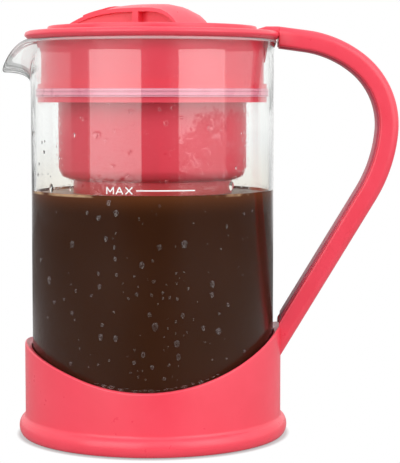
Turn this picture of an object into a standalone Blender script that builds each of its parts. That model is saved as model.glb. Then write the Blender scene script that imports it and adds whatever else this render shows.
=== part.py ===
"""Cold brew coffee maker: a glass carafe in a moulded holder, with a turning lid and a lift-out filter.

Metres, +Z up. The origin is on the carafe's axis, on the surface that it stands on. The handle lies
along +X and the pouring spout along -X. Run it in Blender 4.5.
"""

from math import asin, atan2, ceil, cos, hypot, pi, radians, sin, sqrt, tan

import bmesh
import bpy
from mathutils import Matrix, Vector

# General values
SIDES = 48
FILTER_SIDES = 32
FULL_TURN = 2 * pi
CLEARANCE = 0.0003
OVERRUN = 0.002
SHARP_ANGLE = radians(35)
WELD = 1e-7

# Glass carafe
GLASS_RADIUS = 0.0625
GLASS_WALL = 0.0022
GLASS_FLOOR = 0.0026
GLASS_CORNER = 0.008
GLASS_FLARE = 0.0013
GLASS_FLARE_HEIGHT = 0.0085
GLASS_TOP = 0.2034
SPOUT_DEPTH = 0.0235
SPOUT_REACH = 0.0123
SPOUT_DROP = 0.0151
SPOUT_THROAT = 0.0165
SPOUT_HALF_ANGLE = radians(30)
SPOUT_SHARPNESS = 1.3
SPOUT_DIP_POWER = 2.2
SPOUT_COLUMNS = 16
LIP_STEPS = 4

# Base holder
HOLDER_GAP = 0.0004
HOLDER_WALL = 0.0036
HOLDER_FLOOR = 0.0038
HOLDER_LIFT = 0.0006
BEAD_REACH = 0.0032
BEAD_HEIGHT = 0.0089
BEAD_START = radians(-60)
BEAD_STEPS = 5
SWEEP_RADIUS = 0.1065
SWEEP_LOWEST = 0.0316
SWEEP_OFFSET = -0.0025
SWEEP_SPARE_ANGLE = radians(8)
SWEEP_STEPS = 20
GROOVE_WIDTH = 0.0048
GROOVE_DEPTH = 0.0068
GROOVE_RIM = 0.0026
HOLDER_HEIGHT = 0.066

# Soft pads
PAD_INSET = 0.0145
PAD_THICKNESS = 0.0017
CUSHION_INSET = 0.0125
CUSHION_THICKNESS = 0.0015

# Handle
HANDLE_THICKNESS = 0.0101
HANDLE_WIDTH = 0.021
HANDLE_WALL = 0.0026
HANDLE_CORNER = 0.0038
HANDLE_GAP_TO_TAB = 0.0005
HANDLE_TOP_RUN = 0.0137
HANDLE_SHOULDER_RADIUS = 0.0555
HANDLE_BEND_RADIUS = 0.0406
HANDLE_LOWER_RADIUS = 0.0759
HANDLE_FOOT_BELOW_EDGE = 0.00575
HANDLE_TILT = radians(-7.6)
HANDLE_SHOULDER_TURN = radians(31.4)
HANDLE_BEND_TURN = radians(56.3)
HANDLE_LOWER_TURN = radians(25.8)
HANDLE_STEP = radians(7)
HANDLE_EDGE_ROUNDING = 0.0012
COVER_THICKNESS = 0.0030
COVER_PROUD = 0.0008
COVER_END_GAP = 0.0012

# Handle screws
SCREW_RADIUS = 0.0015
SCREW_HEAD_RADIUS = 0.0027
SCREW_HEAD_HEIGHT = 0.0014
SCREW_LENGTH = 0.0069
SCREW_SPACING = 0.012
SCREW_BELOW_EDGE = 0.0051
SCREW_SIDES = 12

# Lid plate and collar
LID_OVERHANG = 0.0017
LID_THICKNESS = 0.0042
LID_EDGE = 0.0018
COLLAR_GAP = 0.0030
COLLAR_WALL = 0.0022
COLLAR_HEIGHT = 0.0318
FLANGE_REACH = 0.0016
UPPER_FLANGE_HEIGHT = 0.0024
LOWER_FLANGE_HEIGHT = 0.0027
GASKET_HEIGHT = 0.0042
WINDOW_HALF_ANGLE = radians(12.5)
WINDOW_HEIGHT = 0.0150
WINDOW_BELOW_PLATE = 0.0040
GUSSET_HEIGHT = 0.0115
GUSSET_REACH = 0.0026
GUSSET_THICKNESS = 0.0018
TAB_WIDTH = 0.0200
TAB_RISE = 0.0024
TAB_SETBACK = 0.0009
TAB_SLOPE = 0.0040
TAB_NOTCH_GAP = 0.0006

# Socket ring and the lid's slotted floor ring
SOCKET_WALL = 0.0020
SOCKET_HEIGHT = 0.0113
FLOOR_RING_HEIGHT = 0.0025
FLOW_SLOT_WIDTH = 0.0024
FLOW_SLOT_COUNT = 6
FLOW_BRIDGE_ANGLE = radians(12)

# Lid cap with its grip
CAP_INSET = 0.0117
CAP_EDGE_HEIGHT = 0.0024
CAP_CROWN = 0.0006
CAP_ROUNDING = 0.0011
HUB_RADIUS = 0.0075
HUB_CLEARANCE = 0.0004
GRIP_ANGLE = radians(-28)
GRIP_HEIGHT = 0.0114
GRIP_SPOUT_LENGTH = 0.0420
GRIP_TAIL_LENGTH = 0.0242
GRIP_SPOUT_POWER = 2.8
GRIP_TAIL_POWER = 4.2
GRIP_HALF_WIDTH = 0.0175
GRIP_EDGE_DROP = 0.0026
GRIP_ROOF = 0.0019
GRIP_RECESS = 0.0050
GRIP_POST = 0.0034
GRIP_ALONG = 16
GRIP_ACROSS = 6
GRIP_POCKET_STEPS = 6
MARK_NEAR = 0.0166
MARK_LENGTH = 0.0121
MARK_RISE = 0.0007

# Pour shutter and hub fasteners
SHUTTER_WALL = 0.0022
SHUTTER_DISC = 0.0023
SHUTTER_SKIRT = 0.0196
SHUTTER_GAP = 0.0005
KNOB_TRAVEL = radians(30)
WASHER_RADIUS = 0.0060
WASHER_THICKNESS = 0.0009
HUB_SCREW_RADIUS = 0.0016
HUB_SCREW_HEAD_RADIUS = 0.0034
HUB_SCREW_HEAD_HEIGHT = 0.0021
HUB_SCREW_GRIP = 0.0060

# Brew cup
CUP_GAP = 0.0041
CUP_WALL = 0.0020
CUP_FLOOR = 0.0022
CUP_BELOW_COLLAR = 0.0393
CUP_CORNER = 0.0060
CUP_CLEARANCE = 0.0007
NECK_WALL = 0.0020
NECK_HEIGHT = 0.0135
SEAL_THICKNESS = 0.0023
SEAL_OVERHANG = 0.0007
LUG_COUNT = 3
LUG_HALF_ANGLE = radians(6)
LUG_HEIGHT = 0.0030
LUG_REACH = 0.0024
LUG_ABOVE_SOCKET = 0.0046
TWIST_TRAVEL = radians(25)

# Filter cage and screens
CAGE_INSET = 0.0099
CAGE_WALL = 0.0018
CAGE_ABOVE_GLASS = 0.0049
CAGE_FLOOR = 0.0020
CAGE_FLANGE_REACH = 0.0034
CAGE_FLANGE_HEIGHT = 0.0020
CAGE_LIP = 0.0014
CAGE_TOP_BAND = 0.0155
CAGE_BOTTOM_BAND = 0.0090
CAGE_RING_HEIGHT = 0.0030
CAGE_RING_COUNT = 2
CAGE_RIB_COUNT = 8
CAGE_RIB_WIDTH = 0.0040
CAGE_FLOOR_RIM = 0.0070
CAGE_SPOKE_WIDTH = 0.0040
SCREEN_THICKNESS = 0.0005
CLAMP_WALL = 0.0018
CLAMP_HEIGHT = 0.0036

# Places worked out from the sizes above
FLOOR_TOP = HOLDER_LIFT + HOLDER_FLOOR
CUSHION_BOTTOM = FLOOR_TOP + CLEARANCE
GLASS_BOTTOM = CUSHION_BOTTOM + CUSHION_THICKNESS + CLEARANCE
GLASS_BORE = GLASS_RADIUS - GLASS_WALL
GLASS_RIM_RADIUS = GLASS_RADIUS + GLASS_FLARE
HOLDER_BORE = GLASS_RADIUS + HOLDER_GAP
HOLDER_RADIUS = HOLDER_BORE + HOLDER_WALL
SWEEP_RISE = SWEEP_RADIUS - sqrt(SWEEP_RADIUS**2 - (HOLDER_RADIUS - SWEEP_OFFSET)**2)
HOLDER_EDGE = min(SWEEP_LOWEST + SWEEP_RISE, HOLDER_HEIGHT)
PAD_RADIUS = HOLDER_RADIUS - PAD_INSET
CUSHION_RADIUS = GLASS_RADIUS - CUSHION_INSET
LID_RADIUS = GLASS_RIM_RADIUS + LID_OVERHANG
LID_BOTTOM = GLASS_TOP + CLEARANCE
LID_TOP = LID_BOTTOM + LID_THICKNESS
COLLAR_BOTTOM = LID_BOTTOM - COLLAR_HEIGHT
COLLAR_RADIUS = GLASS_BORE - COLLAR_GAP
COLLAR_BORE = COLLAR_RADIUS - COLLAR_WALL
FLANGE_RADIUS = COLLAR_RADIUS + FLANGE_REACH
GASKET_BOTTOM = COLLAR_BOTTOM + LOWER_FLANGE_HEIGHT
GASKET_TOP = GASKET_BOTTOM + GASKET_HEIGHT
UPPER_FLANGE_TOP = GASKET_TOP + UPPER_FLANGE_HEIGHT
CAP_RADIUS = LID_RADIUS - CAP_INSET
CAP_BOTTOM = LID_TOP + CLEARANCE
CAP_TOP = CAP_BOTTOM + CAP_EDGE_HEIGHT
SHUTTER_TOP = LID_BOTTOM - SHUTTER_GAP
SHUTTER_RADIUS = COLLAR_BORE - CLEARANCE
SHUTTER_BORE = SHUTTER_RADIUS - SHUTTER_WALL
SHUTTER_UNDERSIDE = SHUTTER_TOP - SHUTTER_DISC
CUP_RADIUS = SHUTTER_BORE - CUP_GAP
CUP_BOTTOM = COLLAR_BOTTOM - CUP_BELOW_COLLAR
SOCKET_BORE = CUP_RADIUS + CUP_CLEARANCE
SOCKET_RADIUS = SOCKET_BORE + SOCKET_WALL
WASHER_TOP = SHUTTER_UNDERSIDE - CLEARANCE
WASHER_BOTTOM = WASHER_TOP - WASHER_THICKNESS
HUB_SCREW_HEAD_TOP = WASHER_BOTTOM - CLEARANCE
HUB_BOTTOM = SHUTTER_TOP + CLEARANCE
WINDOW_TOP = LID_BOTTOM - WINDOW_BELOW_PLATE
WINDOW_BOTTOM = WINDOW_TOP - WINDOW_HEIGHT
CUP_TOP = SHUTTER_UNDERSIDE - CLEARANCE - SEAL_THICKNESS - CLEARANCE
LUG_BOTTOM = COLLAR_BOTTOM + LUG_ABOVE_SOCKET
CAGE_SEAT = CUP_BOTTOM + CUP_FLOOR + CLEARANCE
CAGE_BOTTOM = GLASS_BOTTOM + GLASS_FLOOR + CAGE_ABOVE_GLASS
CAGE_RADIUS = CUP_RADIUS - CAGE_INSET
CAGE_BORE = CAGE_RADIUS - CAGE_WALL
SCREEN_RADIUS = CAGE_BORE - CLEARANCE
SCREEN_BOTTOM = CAGE_BOTTOM + CAGE_FLOOR + CLEARANCE
TUBE_BOTTOM = SCREEN_BOTTOM + SCREEN_THICKNESS + CLEARANCE
TAB_END = LID_RADIUS - TAB_SETBACK
HANDLE_START = TAB_END + HANDLE_GAP_TO_TAB
HANDLE_TOP = LID_TOP + TAB_RISE
HANDLE_FOOT = HOLDER_EDGE - HANDLE_FOOT_BELOW_EDGE
SCREW_HEIGHT = HOLDER_EDGE - SCREW_BELOW_EDGE
SCREW_PLACES = (("screw_front", -SCREW_SPACING / 2), ("screw_back", SCREW_SPACING / 2))

PINK = (0.93, 0.105, 0.15)
SHADED_PINK = (0.80, 0.085, 0.13)
MILKY = (0.86, 0.78, 0.78)
STEEL = (0.72, 0.72, 0.74)
CLEAR = (0.94, 0.97, 0.95)
SCREEN_WHITE = (0.82, 0.80, 0.76)


def clear_scene():
    for item in list(bpy.data.objects):
        bpy.data.objects.remove(item, do_unlink=True)


def make_material(name, colour, roughness, metallic=0.0, transmission=0.0):
    material = bpy.data.materials.new(name)
    material.use_nodes = True
    shader = material.node_tree.nodes["Principled BSDF"]
    shader.inputs["Base Color"].default_value = (*colour, 1.0)
    shader.inputs["Roughness"].default_value = roughness
    shader.inputs["Metallic"].default_value = metallic
    shader.inputs["Transmission Weight"].default_value = transmission
    return material


def finish_object(name, mesh_builder, material):
    """Turn a bmesh into a named, smooth-shaded object, whose origin is on the axis that all joints share."""
    bmesh.ops.remove_doubles(mesh_builder, verts=mesh_builder.verts, dist=WELD)
    bmesh.ops.recalc_face_normals(mesh_builder, faces=mesh_builder.faces)
    mesh = bpy.data.meshes.new(name)
    mesh_builder.to_mesh(mesh)
    mesh_builder.free()
    mesh.shade_smooth()
    mesh.set_sharp_from_angle(angle=SHARP_ANGLE)
    item = bpy.data.objects.new(name, mesh)
    bpy.context.scene.collection.objects.link(item)
    if material:
        mesh.materials.append(material)
    return item


def combine(target, helper, operation):
    """Join the helper to the target or cut it away, mark the new edges sharp, and drop the helper."""
    modifier = target.modifiers.new(helper.name, "BOOLEAN")
    modifier.operation = operation
    modifier.solver = "EXACT"
    modifier.object = helper
    graph = bpy.context.evaluated_depsgraph_get()
    mesh = bpy.data.meshes.new_from_object(target.evaluated_get(graph))
    target.modifiers.clear()
    worn = target.data
    target.data = mesh
    mesh.name = target.name
    mesh.set_sharp_from_angle(angle=SHARP_ANGLE)
    bpy.data.meshes.remove(worn)
    bpy.data.meshes.remove(helper.data)


def cut(target, helper):
    combine(target, helper, "DIFFERENCE")


def add(target, helper):
    combine(target, helper, "UNION")


def arc(centre, radius, start, end, steps):
    """Points on a circular arc in a profile, from the start angle to the end angle."""
    points = []
    for step in range(steps + 1):
        angle = start + (end - start) * step / steps
        points.append((centre[0] + radius * cos(angle), centre[1] + radius * sin(angle)))
    return points


def revolve(name, outline, material, closed=True, sides=SIDES):
    """Spin a profile of radius and height pairs round the Z axis."""
    shape = bmesh.new()
    ring = [shape.verts.new((radius, 0, height)) for radius, height in outline]
    pairs = list(zip(ring, ring[1:] + ring[:1] if closed else ring[1:]))
    edges = [shape.edges.new(pair) for pair in pairs]
    bmesh.ops.spin(
        shape, geom=ring + edges, cent=(0, 0, 0), axis=(0, 0, 1), angle=FULL_TURN, steps=sides, use_merge=True
    )
    return finish_object(name, shape, material)


def revolve_solid(name, outline, material, sides=SIDES):
    """Spin a profile whose first and last points lie on the axis."""
    return revolve(name, outline, material, closed=False, sides=sides)


def loft(name, rings, material):
    """Bridge a row of point rings, and cap its ends."""
    shape = bmesh.new()
    rows = [[shape.verts.new(point) for point in ring] for ring in rings]
    count = len(rows[0])
    for first, second in zip(rows, rows[1:]):
        for index in range(count):
            after = (index + 1) % count
            shape.faces.new((first[index], first[after], second[after], second[index]))
    shape.faces.new(rows[0])
    shape.faces.new(reversed(rows[-1]))
    return finish_object(name, shape, material)


def sector(name, inner, outer, bottom, top, start, end, steps=3):
    """A block between two radii, two heights and two angles."""
    section = ((inner, bottom), (outer, bottom), (outer, top), (inner, top))
    rings = []
    for step in range(steps + 1):
        angle = start + (end - start) * step / steps
        rings.append([(radius * cos(angle), radius * sin(angle), height) for radius, height in section])
    return loft(name, rings, None)


def block(name, low, high):
    """A box between two corners."""
    ring = [(low[0], low[1]), (high[0], low[1]), (high[0], high[1]), (low[0], high[1])]
    rings = [[(x, y, height) for x, y in ring] for height in (low[2], high[2])]
    return loft(name, rings, None)


def rod_along_x(name, stations, place, material=None):
    """A round rod along X through the given place, from pairs of X position and radius."""
    rings = []
    for position, radius in stations:
        ring = []
        for side in range(SCREW_SIDES):
            angle = FULL_TURN * side / SCREW_SIDES
            ring.append((position, place[0] + radius * cos(angle), place[1] + radius * sin(angle)))
        rings.append(ring)
    return loft(name, rings, material)


def spout_weight(angle):
    """1 at the spout's tip, 0 outside the spout."""
    away = abs(atan2(sin(angle - pi), cos(angle - pi)))
    if away >= SPOUT_HALF_ANGLE:
        return 0.0
    return ((1 + cos(pi * away / SPOUT_HALF_ANGLE)) / 2) ** SPOUT_SHARPNESS


def bezier(start, control, end, share):
    """A point on a curve with one control point, and the curve's direction there."""
    before, after = 1 - share, share
    places = list(zip(start, control, end))
    point = tuple(before**2 * a + 2 * before * after * b + after**2 * c for a, b, c in places)
    run, rise = (before * (b - a) + after * (c - b) for a, b, c in places)
    length = hypot(run, rise)
    return point, (run / length, rise / length)


def lip_curve(weight):
    """The outer surface from the straight wall to the rim, with the way into the glass at each point."""
    middle = GLASS_FLARE_HEIGHT / 2
    rim_rounding = GLASS_WALL / 2 * (GLASS_FLARE + middle) / hypot(GLASS_FLARE, middle)
    plain_start = GLASS_TOP - GLASS_FLARE_HEIGHT
    start = (GLASS_RADIUS, plain_start + (GLASS_TOP - SPOUT_DEPTH - plain_start) * weight)
    plain_control = GLASS_TOP - middle
    control = (GLASS_RADIUS, plain_control + (GLASS_TOP - SPOUT_THROAT - plain_control) * weight)
    end = (
        GLASS_RIM_RADIUS + SPOUT_REACH * weight,
        GLASS_TOP - rim_rounding - SPOUT_DROP * weight**SPOUT_DIP_POWER,
    )
    return [bezier(start, control, end, step / LIP_STEPS) for step in range(LIP_STEPS + 1)]


def glass_column(angle):
    """One upright strip of the glass, from the outer floor over the rim to the inner floor."""
    half = GLASS_WALL / 2
    lip = lip_curve(spout_weight(angle))
    outer_corner = (GLASS_RADIUS - GLASS_CORNER, GLASS_BOTTOM + GLASS_CORNER)
    inner_corner_radius = GLASS_CORNER - GLASS_WALL
    inner_corner = (GLASS_BORE - inner_corner_radius, GLASS_BOTTOM + GLASS_FLOOR + inner_corner_radius)
    outline = arc(outer_corner, GLASS_CORNER, -pi / 2, 0, 3)
    outline += [point for point, _ in lip]
    (edge_r, edge_z), (run, rise) = lip[-1]
    outline.append((edge_r - rise * half + run * half, edge_z + run * half + rise * half))
    outline += [(r - rise * GLASS_WALL, z + run * GLASS_WALL) for (r, z), (run, rise) in reversed(lip)]
    outline += arc(inner_corner, inner_corner_radius, 0, -pi / 2, 2)
    return [(radius * cos(angle), radius * sin(angle), height) for radius, height in outline]


def build_glass(material):
    plain_columns = ceil((FULL_TURN - 2 * SPOUT_HALF_ANGLE) * SIDES / FULL_TURN)
    angles = []
    for column in range(SPOUT_COLUMNS):
        angles.append(pi - SPOUT_HALF_ANGLE + 2 * SPOUT_HALF_ANGLE * column / SPOUT_COLUMNS)
    for column in range(plain_columns):
        share = column / plain_columns
        angles.append(pi + SPOUT_HALF_ANGLE + (FULL_TURN - 2 * SPOUT_HALF_ANGLE) * share)
    shape = bmesh.new()
    columns = [[shape.verts.new(point) for point in glass_column(angle)] for angle in angles]
    for first, second in zip(columns, columns[1:] + columns[:1]):
        for index in range(len(first) - 1):
            shape.faces.new((first[index], second[index], second[index + 1], first[index + 1]))
    shape.faces.new([column[0] for column in columns])
    shape.faces.new([column[-1] for column in reversed(columns)])
    return finish_object("glass_carafe", shape, material)


def build_holder(material):
    bead_rise = BEAD_HEIGHT / (1 - sin(BEAD_START))
    bead_middle = HOLDER_LIFT + BEAD_HEIGHT - bead_rise
    round_bead = arc((0, 0), 1, BEAD_START, pi / 2, BEAD_STEPS)
    bead = [(HOLDER_RADIUS + BEAD_REACH * out, bead_middle + bead_rise * up) for out, up in round_bead]
    groove_outer = HOLDER_RADIUS + BEAD_REACH - GROOVE_RIM
    groove_inner = groove_outer - GROOVE_WIDTH
    recess = PAD_RADIUS + CLEARANCE
    recess_top = PAD_THICKNESS + CLEARANCE
    outline = [(0, recess_top), (recess, recess_top), (recess, HOLDER_LIFT), (groove_inner, HOLDER_LIFT)]
    outline += [(groove_inner, HOLDER_LIFT + GROOVE_DEPTH), (groove_outer, HOLDER_LIFT + GROOVE_DEPTH)]
    outline += [(groove_outer, HOLDER_LIFT)]
    outline += bead
    outline += [(HOLDER_RADIUS, HOLDER_HEIGHT), (HOLDER_BORE, HOLDER_HEIGHT)]
    corner = GLASS_CORNER
    outline += arc((HOLDER_BORE - corner, FLOOR_TOP + corner), corner, 0, -pi / 2, 2)
    outline += [(0, FLOOR_TOP)]
    holder = revolve_solid("base_holder", outline, material)
    reach = HOLDER_RADIUS + BEAD_REACH + OVERRUN
    spread = asin(reach / SWEEP_RADIUS) + SWEEP_SPARE_ANGLE
    centre = (SWEEP_OFFSET, SWEEP_LOWEST + SWEEP_RADIUS)
    curve = arc(centre, SWEEP_RADIUS, -pi / 2 - spread, -pi / 2 + spread, SWEEP_STEPS)
    above = centre[1] + HOLDER_HEIGHT
    curve += [(curve[-1][0], above), (curve[0][0], above)]
    rings = [[(x, side, z) for x, z in curve] for side in (-reach, reach)]
    cut(holder, loft("cutter_holder_sweep", rings, None))
    for name, side in SCREW_PLACES:
        head_end = HOLDER_BORE + CLEARANCE + SCREW_HEAD_HEIGHT
        stations = [
            (HOLDER_BORE - OVERRUN, SCREW_HEAD_RADIUS + CLEARANCE),
            (HOLDER_BORE + 2 * CLEARANCE, SCREW_HEAD_RADIUS + CLEARANCE),
            (head_end + CLEARANCE, SCREW_RADIUS + CLEARANCE),
            (HOLDER_RADIUS + OVERRUN, SCREW_RADIUS + CLEARANCE),
        ]
        cut(holder, rod_along_x("cutter_holder_" + name, stations, (side, SCREW_HEIGHT)))


def build_pads(material):
    outline = [(0, 0), (PAD_RADIUS, 0), (PAD_RADIUS, PAD_THICKNESS), (0, PAD_THICKNESS)]
    revolve_solid("non_slip_pad", outline, material)
    top = CUSHION_BOTTOM + CUSHION_THICKNESS
    outline = [(0, CUSHION_BOTTOM), (CUSHION_RADIUS, CUSHION_BOTTOM), (CUSHION_RADIUS, top), (0, top)]
    revolve_solid("glass_cushion", outline, material)


def plain_handle_path():
    """The handle's bends from the lid into the holder's wall, with heights below its start."""
    x = HANDLE_START
    z = 0.0
    heading = HANDLE_TILT
    stations = [(x, z, 0)]
    x += HANDLE_TOP_RUN * cos(heading)
    z += HANDLE_TOP_RUN * sin(heading)
    stations.append((x, z, heading))
    bends = (
        (HANDLE_SHOULDER_RADIUS, HANDLE_SHOULDER_TURN),
        (HANDLE_BEND_RADIUS, HANDLE_BEND_TURN),
        (HANDLE_LOWER_RADIUS, HANDLE_LOWER_TURN),
    )
    for radius, turn in bends:
        steps = ceil(turn / HANDLE_STEP)
        for _ in range(steps):
            heading -= turn / steps
            chord = 2 * radius * sin(turn / steps / 2)
            middle = heading + turn / steps / 2
            x += chord * cos(middle)
            z += chord * sin(middle)
            stations.append((x, z, heading))
    leg = x - HOLDER_RADIUS + HANDLE_THICKNESS
    stations.append((x - leg, z - leg * tan(heading), heading))
    return stations


def handle_path():
    """The handle's centreline in the XZ plane, stretched in height to reach from the lid to its foot."""
    plain = plain_handle_path()
    x, z, heading = plain[-1]
    plain_foot = z - (x - HOLDER_RADIUS) * tan(heading)
    top = HANDLE_TOP - HANDLE_THICKNESS / 2 * cos(HANDLE_TILT)
    stretch = (HANDLE_FOOT - top) / plain_foot
    return [(x, top + z * stretch, atan2(sin(heading) * stretch, cos(heading))) for x, z, heading in plain]


def trimmed(path, start, end):
    """The path without its first and last stretch, which lie on its straight runs."""
    stations = list(path)
    x, z, heading = stations[0]
    _, _, run_heading = stations[1]
    stations[0] = (x + start * cos(run_heading), z + start * sin(run_heading), heading)
    x, z, heading = stations[-1]
    stations[-1] = (x - end * cos(heading), z - end * sin(heading), heading)
    return stations


def sweep(name, path, section, material=None):
    """Loft a section along the path. A section point is its distance outwards and its place along Y."""
    rings = []
    for x, z, heading in path:
        rings.append([(x - out * sin(heading), side, z + out * cos(heading)) for out, side in section])
    return loft(name, rings, material)


def rounded_section(inner, outer, half_width, inner_corner, outer_corner):
    """A section between two distances outwards, with large corners in three steps and small ones in one."""
    section = []
    corners = (
        (outer - outer_corner, half_width - outer_corner, outer_corner, 0),
        (inner + inner_corner, half_width - inner_corner, inner_corner, pi / 2),
        (inner + inner_corner, inner_corner - half_width, inner_corner, pi),
        (outer - outer_corner, outer_corner - half_width, outer_corner, 3 * pi / 2),
    )
    for out, side, radius, start in corners:
        steps = 3 if radius > HANDLE_EDGE_ROUNDING else 1
        section += arc((out, side), radius, start, start + pi / 2, steps)
    return section


def holder_end_cutter(name):
    """What the holder's wall takes from the handle's lower end, with the gap between them."""
    radius = HOLDER_RADIUS + CLEARANCE
    top = HOLDER_HEIGHT + HANDLE_THICKNESS
    return revolve_solid(name, [(0, 0), (radius, 0), (radius, top), (0, top)], None)


def cover_end_trim(path):
    """How much of the leg the cover leaves free, so that its end clears the holder."""
    x, _, heading = path[-1]
    inner_shift = (HANDLE_THICKNESS / 2 + COVER_PROUD) * -sin(heading)
    return (HOLDER_RADIUS + COVER_END_GAP + inner_shift - x) / -cos(heading)


def build_handle(shell_material, cover_material):
    path = handle_path()
    cover_end = cover_end_trim(path)
    half = HANDLE_THICKNESS / 2
    edge = HANDLE_EDGE_ROUNDING
    section = rounded_section(-half, half, HANDLE_WIDTH / 2, edge, HANDLE_CORNER)
    shell = sweep("handle_shell", path, section, shell_material)
    cavity_half = HANDLE_WIDTH / 2 - HANDLE_WALL
    wall_corner = HANDLE_CORNER / 2
    cavity = rounded_section(-half - OVERRUN - edge, half - HANDLE_WALL, cavity_half, edge, wall_corner)
    cut(shell, sweep("cutter_handle_cavity", trimmed(path, HANDLE_WALL, cover_end - CLEARANCE), cavity))
    cut(shell, holder_end_cutter("cutter_handle_end"))
    for name, side in SCREW_PLACES:
        end = HOLDER_BORE + SCREW_LENGTH + 2 * CLEARANCE
        stations = [(HOLDER_RADIUS - OVERRUN, SCREW_RADIUS + CLEARANCE), (end, SCREW_RADIUS + CLEARANCE)]
        cut(shell, rod_along_x("cutter_handle_" + name, stations, (side, SCREW_HEIGHT)))
    cover_start = HANDLE_WALL + CLEARANCE
    section = rounded_section(
        -half - COVER_PROUD, -half - COVER_PROUD + COVER_THICKNESS, cavity_half - CLEARANCE, edge, edge / 2
    )
    sweep("handle_cover", trimmed(path, cover_start, cover_end), section, cover_material)


def build_handle_screws(material):
    head_start = HOLDER_BORE + CLEARANCE
    for name, side in SCREW_PLACES:
        stations = [
            (head_start, SCREW_HEAD_RADIUS),
            (head_start + CLEARANCE, SCREW_HEAD_RADIUS),
            (head_start + SCREW_HEAD_HEIGHT, SCREW_RADIUS),
            (head_start + SCREW_LENGTH - SCREW_RADIUS, SCREW_RADIUS),
            (head_start + SCREW_LENGTH, SCREW_RADIUS / 3),
        ]
        rod_along_x("handle_" + name, stations, (side, SCREW_HEIGHT), material)


def lid_outline():
    hub_hole = HUB_RADIUS + HUB_CLEARANCE
    edge = LID_EDGE
    outline = [(hub_hole, LID_TOP)]
    outline += arc((LID_RADIUS - edge, LID_TOP - edge), edge, pi / 2, 0, 2)
    outline += arc((LID_RADIUS - edge, LID_BOTTOM + edge), edge, 0, -pi / 2, 1)
    outline += [
        (COLLAR_RADIUS, LID_BOTTOM),
        (COLLAR_RADIUS, UPPER_FLANGE_TOP),
        (FLANGE_RADIUS, UPPER_FLANGE_TOP),
        (FLANGE_RADIUS, GASKET_TOP),
        (COLLAR_RADIUS, GASKET_TOP),
        (COLLAR_RADIUS, GASKET_BOTTOM),
        (FLANGE_RADIUS, GASKET_BOTTOM),
        (FLANGE_RADIUS, COLLAR_BOTTOM),
        (SOCKET_BORE, COLLAR_BOTTOM),
        (SOCKET_BORE, COLLAR_BOTTOM + SOCKET_HEIGHT),
        (SOCKET_RADIUS, COLLAR_BOTTOM + SOCKET_HEIGHT),
        (SOCKET_RADIUS, COLLAR_BOTTOM + FLOOR_RING_HEIGHT),
        (COLLAR_BORE, COLLAR_BOTTOM + FLOOR_RING_HEIGHT),
        (COLLAR_BORE, LID_BOTTOM),
        (hub_hole, LID_BOTTOM),
    ]
    return outline


def add_gusset(lid):
    """A wedge that braces the collar under the plate, on the handle's side."""
    inner = COLLAR_RADIUS - COLLAR_WALL / 2
    reach = COLLAR_RADIUS + GUSSET_REACH
    outline = [
        (inner, LID_BOTTOM + LID_EDGE),
        (reach, LID_BOTTOM + LID_EDGE),
        (reach, LID_BOTTOM - GUSSET_THICKNESS),
        (COLLAR_RADIUS + GUSSET_REACH / 3, LID_BOTTOM - GUSSET_HEIGHT),
        (inner, LID_BOTTOM - GUSSET_HEIGHT),
    ]
    rings = [[(x, side * GUSSET_THICKNESS / 2, z) for x, z in outline] for side in (-1, 1)]
    add(lid, loft("helper_gusset", rings, None))


def add_tab(lid):
    """The raised block that carries the handle's top line over to the cap."""
    start = CAP_RADIUS + CLEARANCE
    top = LID_TOP + TAB_RISE
    low = LID_BOTTOM + LID_THICKNESS / 2
    foot = [(start, low), (TAB_END, low)]
    crown = [(TAB_END, top), (start + TAB_SLOPE, top), (start, LID_TOP + TAB_RISE / 2)]
    rounding = TAB_RISE / 2
    notch_half = HANDLE_WIDTH / 2 + TAB_NOTCH_GAP
    notch_low = (TAB_END, -notch_half, LID_BOTTOM - OVERRUN)
    notch_high = (LID_RADIUS + OVERRUN, notch_half, LID_TOP + OVERRUN)
    cut(lid, block("cutter_handle_notch", notch_low, notch_high))
    half = TAB_WIDTH / 2
    rings = []
    for side, lower in ((-half, rounding), (rounding - half, 0), (half - rounding, 0), (half, rounding)):
        rings.append([(x, side, z) for x, z in foot] + [(x, side, z - lower) for x, z in crown])
    add(lid, loft("helper_tab", rings, None))


def cut_lid_openings(lid):
    window = sector(
        "cutter_pour_window", COLLAR_BORE - OVERRUN, COLLAR_RADIUS + OVERRUN, WINDOW_BOTTOM, WINDOW_TOP,
        pi - WINDOW_HALF_ANGLE, pi + WINDOW_HALF_ANGLE,
    )
    cut(lid, window)
    slot_outer = COLLAR_BORE - CLEARANCE * 2
    for index in range(FLOW_SLOT_COUNT):
        start = FULL_TURN * index / FLOW_SLOT_COUNT + FLOW_BRIDGE_ANGLE / 2
        end = FULL_TURN * (index + 1) / FLOW_SLOT_COUNT - FLOW_BRIDGE_ANGLE / 2
        slot = sector(
            f"cutter_flow_{index}", slot_outer - FLOW_SLOT_WIDTH, slot_outer, COLLAR_BOTTOM - OVERRUN,
            COLLAR_BOTTOM + FLOOR_RING_HEIGHT + OVERRUN, start, end, steps=4,
        )
        cut(lid, slot)


def cut_bayonet(lid):
    """The L-shaped slots in the socket ring: a lug comes up its gate, then turns along its run."""
    margin = CLEARANCE / CUP_RADIUS
    half = LUG_HALF_ANGLE + margin
    inner = SOCKET_BORE - OVERRUN / 2
    outer = SOCKET_RADIUS + CLEARANCE
    low = LUG_BOTTOM - CLEARANCE
    high = LUG_BOTTOM + LUG_HEIGHT + CLEARANCE
    gate_bottom = COLLAR_BOTTOM - OVERRUN
    gate_top = high - CLEARANCE
    for index in range(LUG_COUNT):
        start = FULL_TURN * index / LUG_COUNT - half
        gate_start = start + TWIST_TRAVEL
        gate_end = gate_start + 2 * half
        run_end = gate_end + margin
        cut(lid, sector(f"cutter_bayonet_run_{index}", inner, outer, low, high, start, run_end, steps=6))
        gate_name = f"cutter_bayonet_gate_{index}"
        cut(lid, sector(gate_name, inner, outer, gate_bottom, gate_top, gate_start, gate_end))


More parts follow.
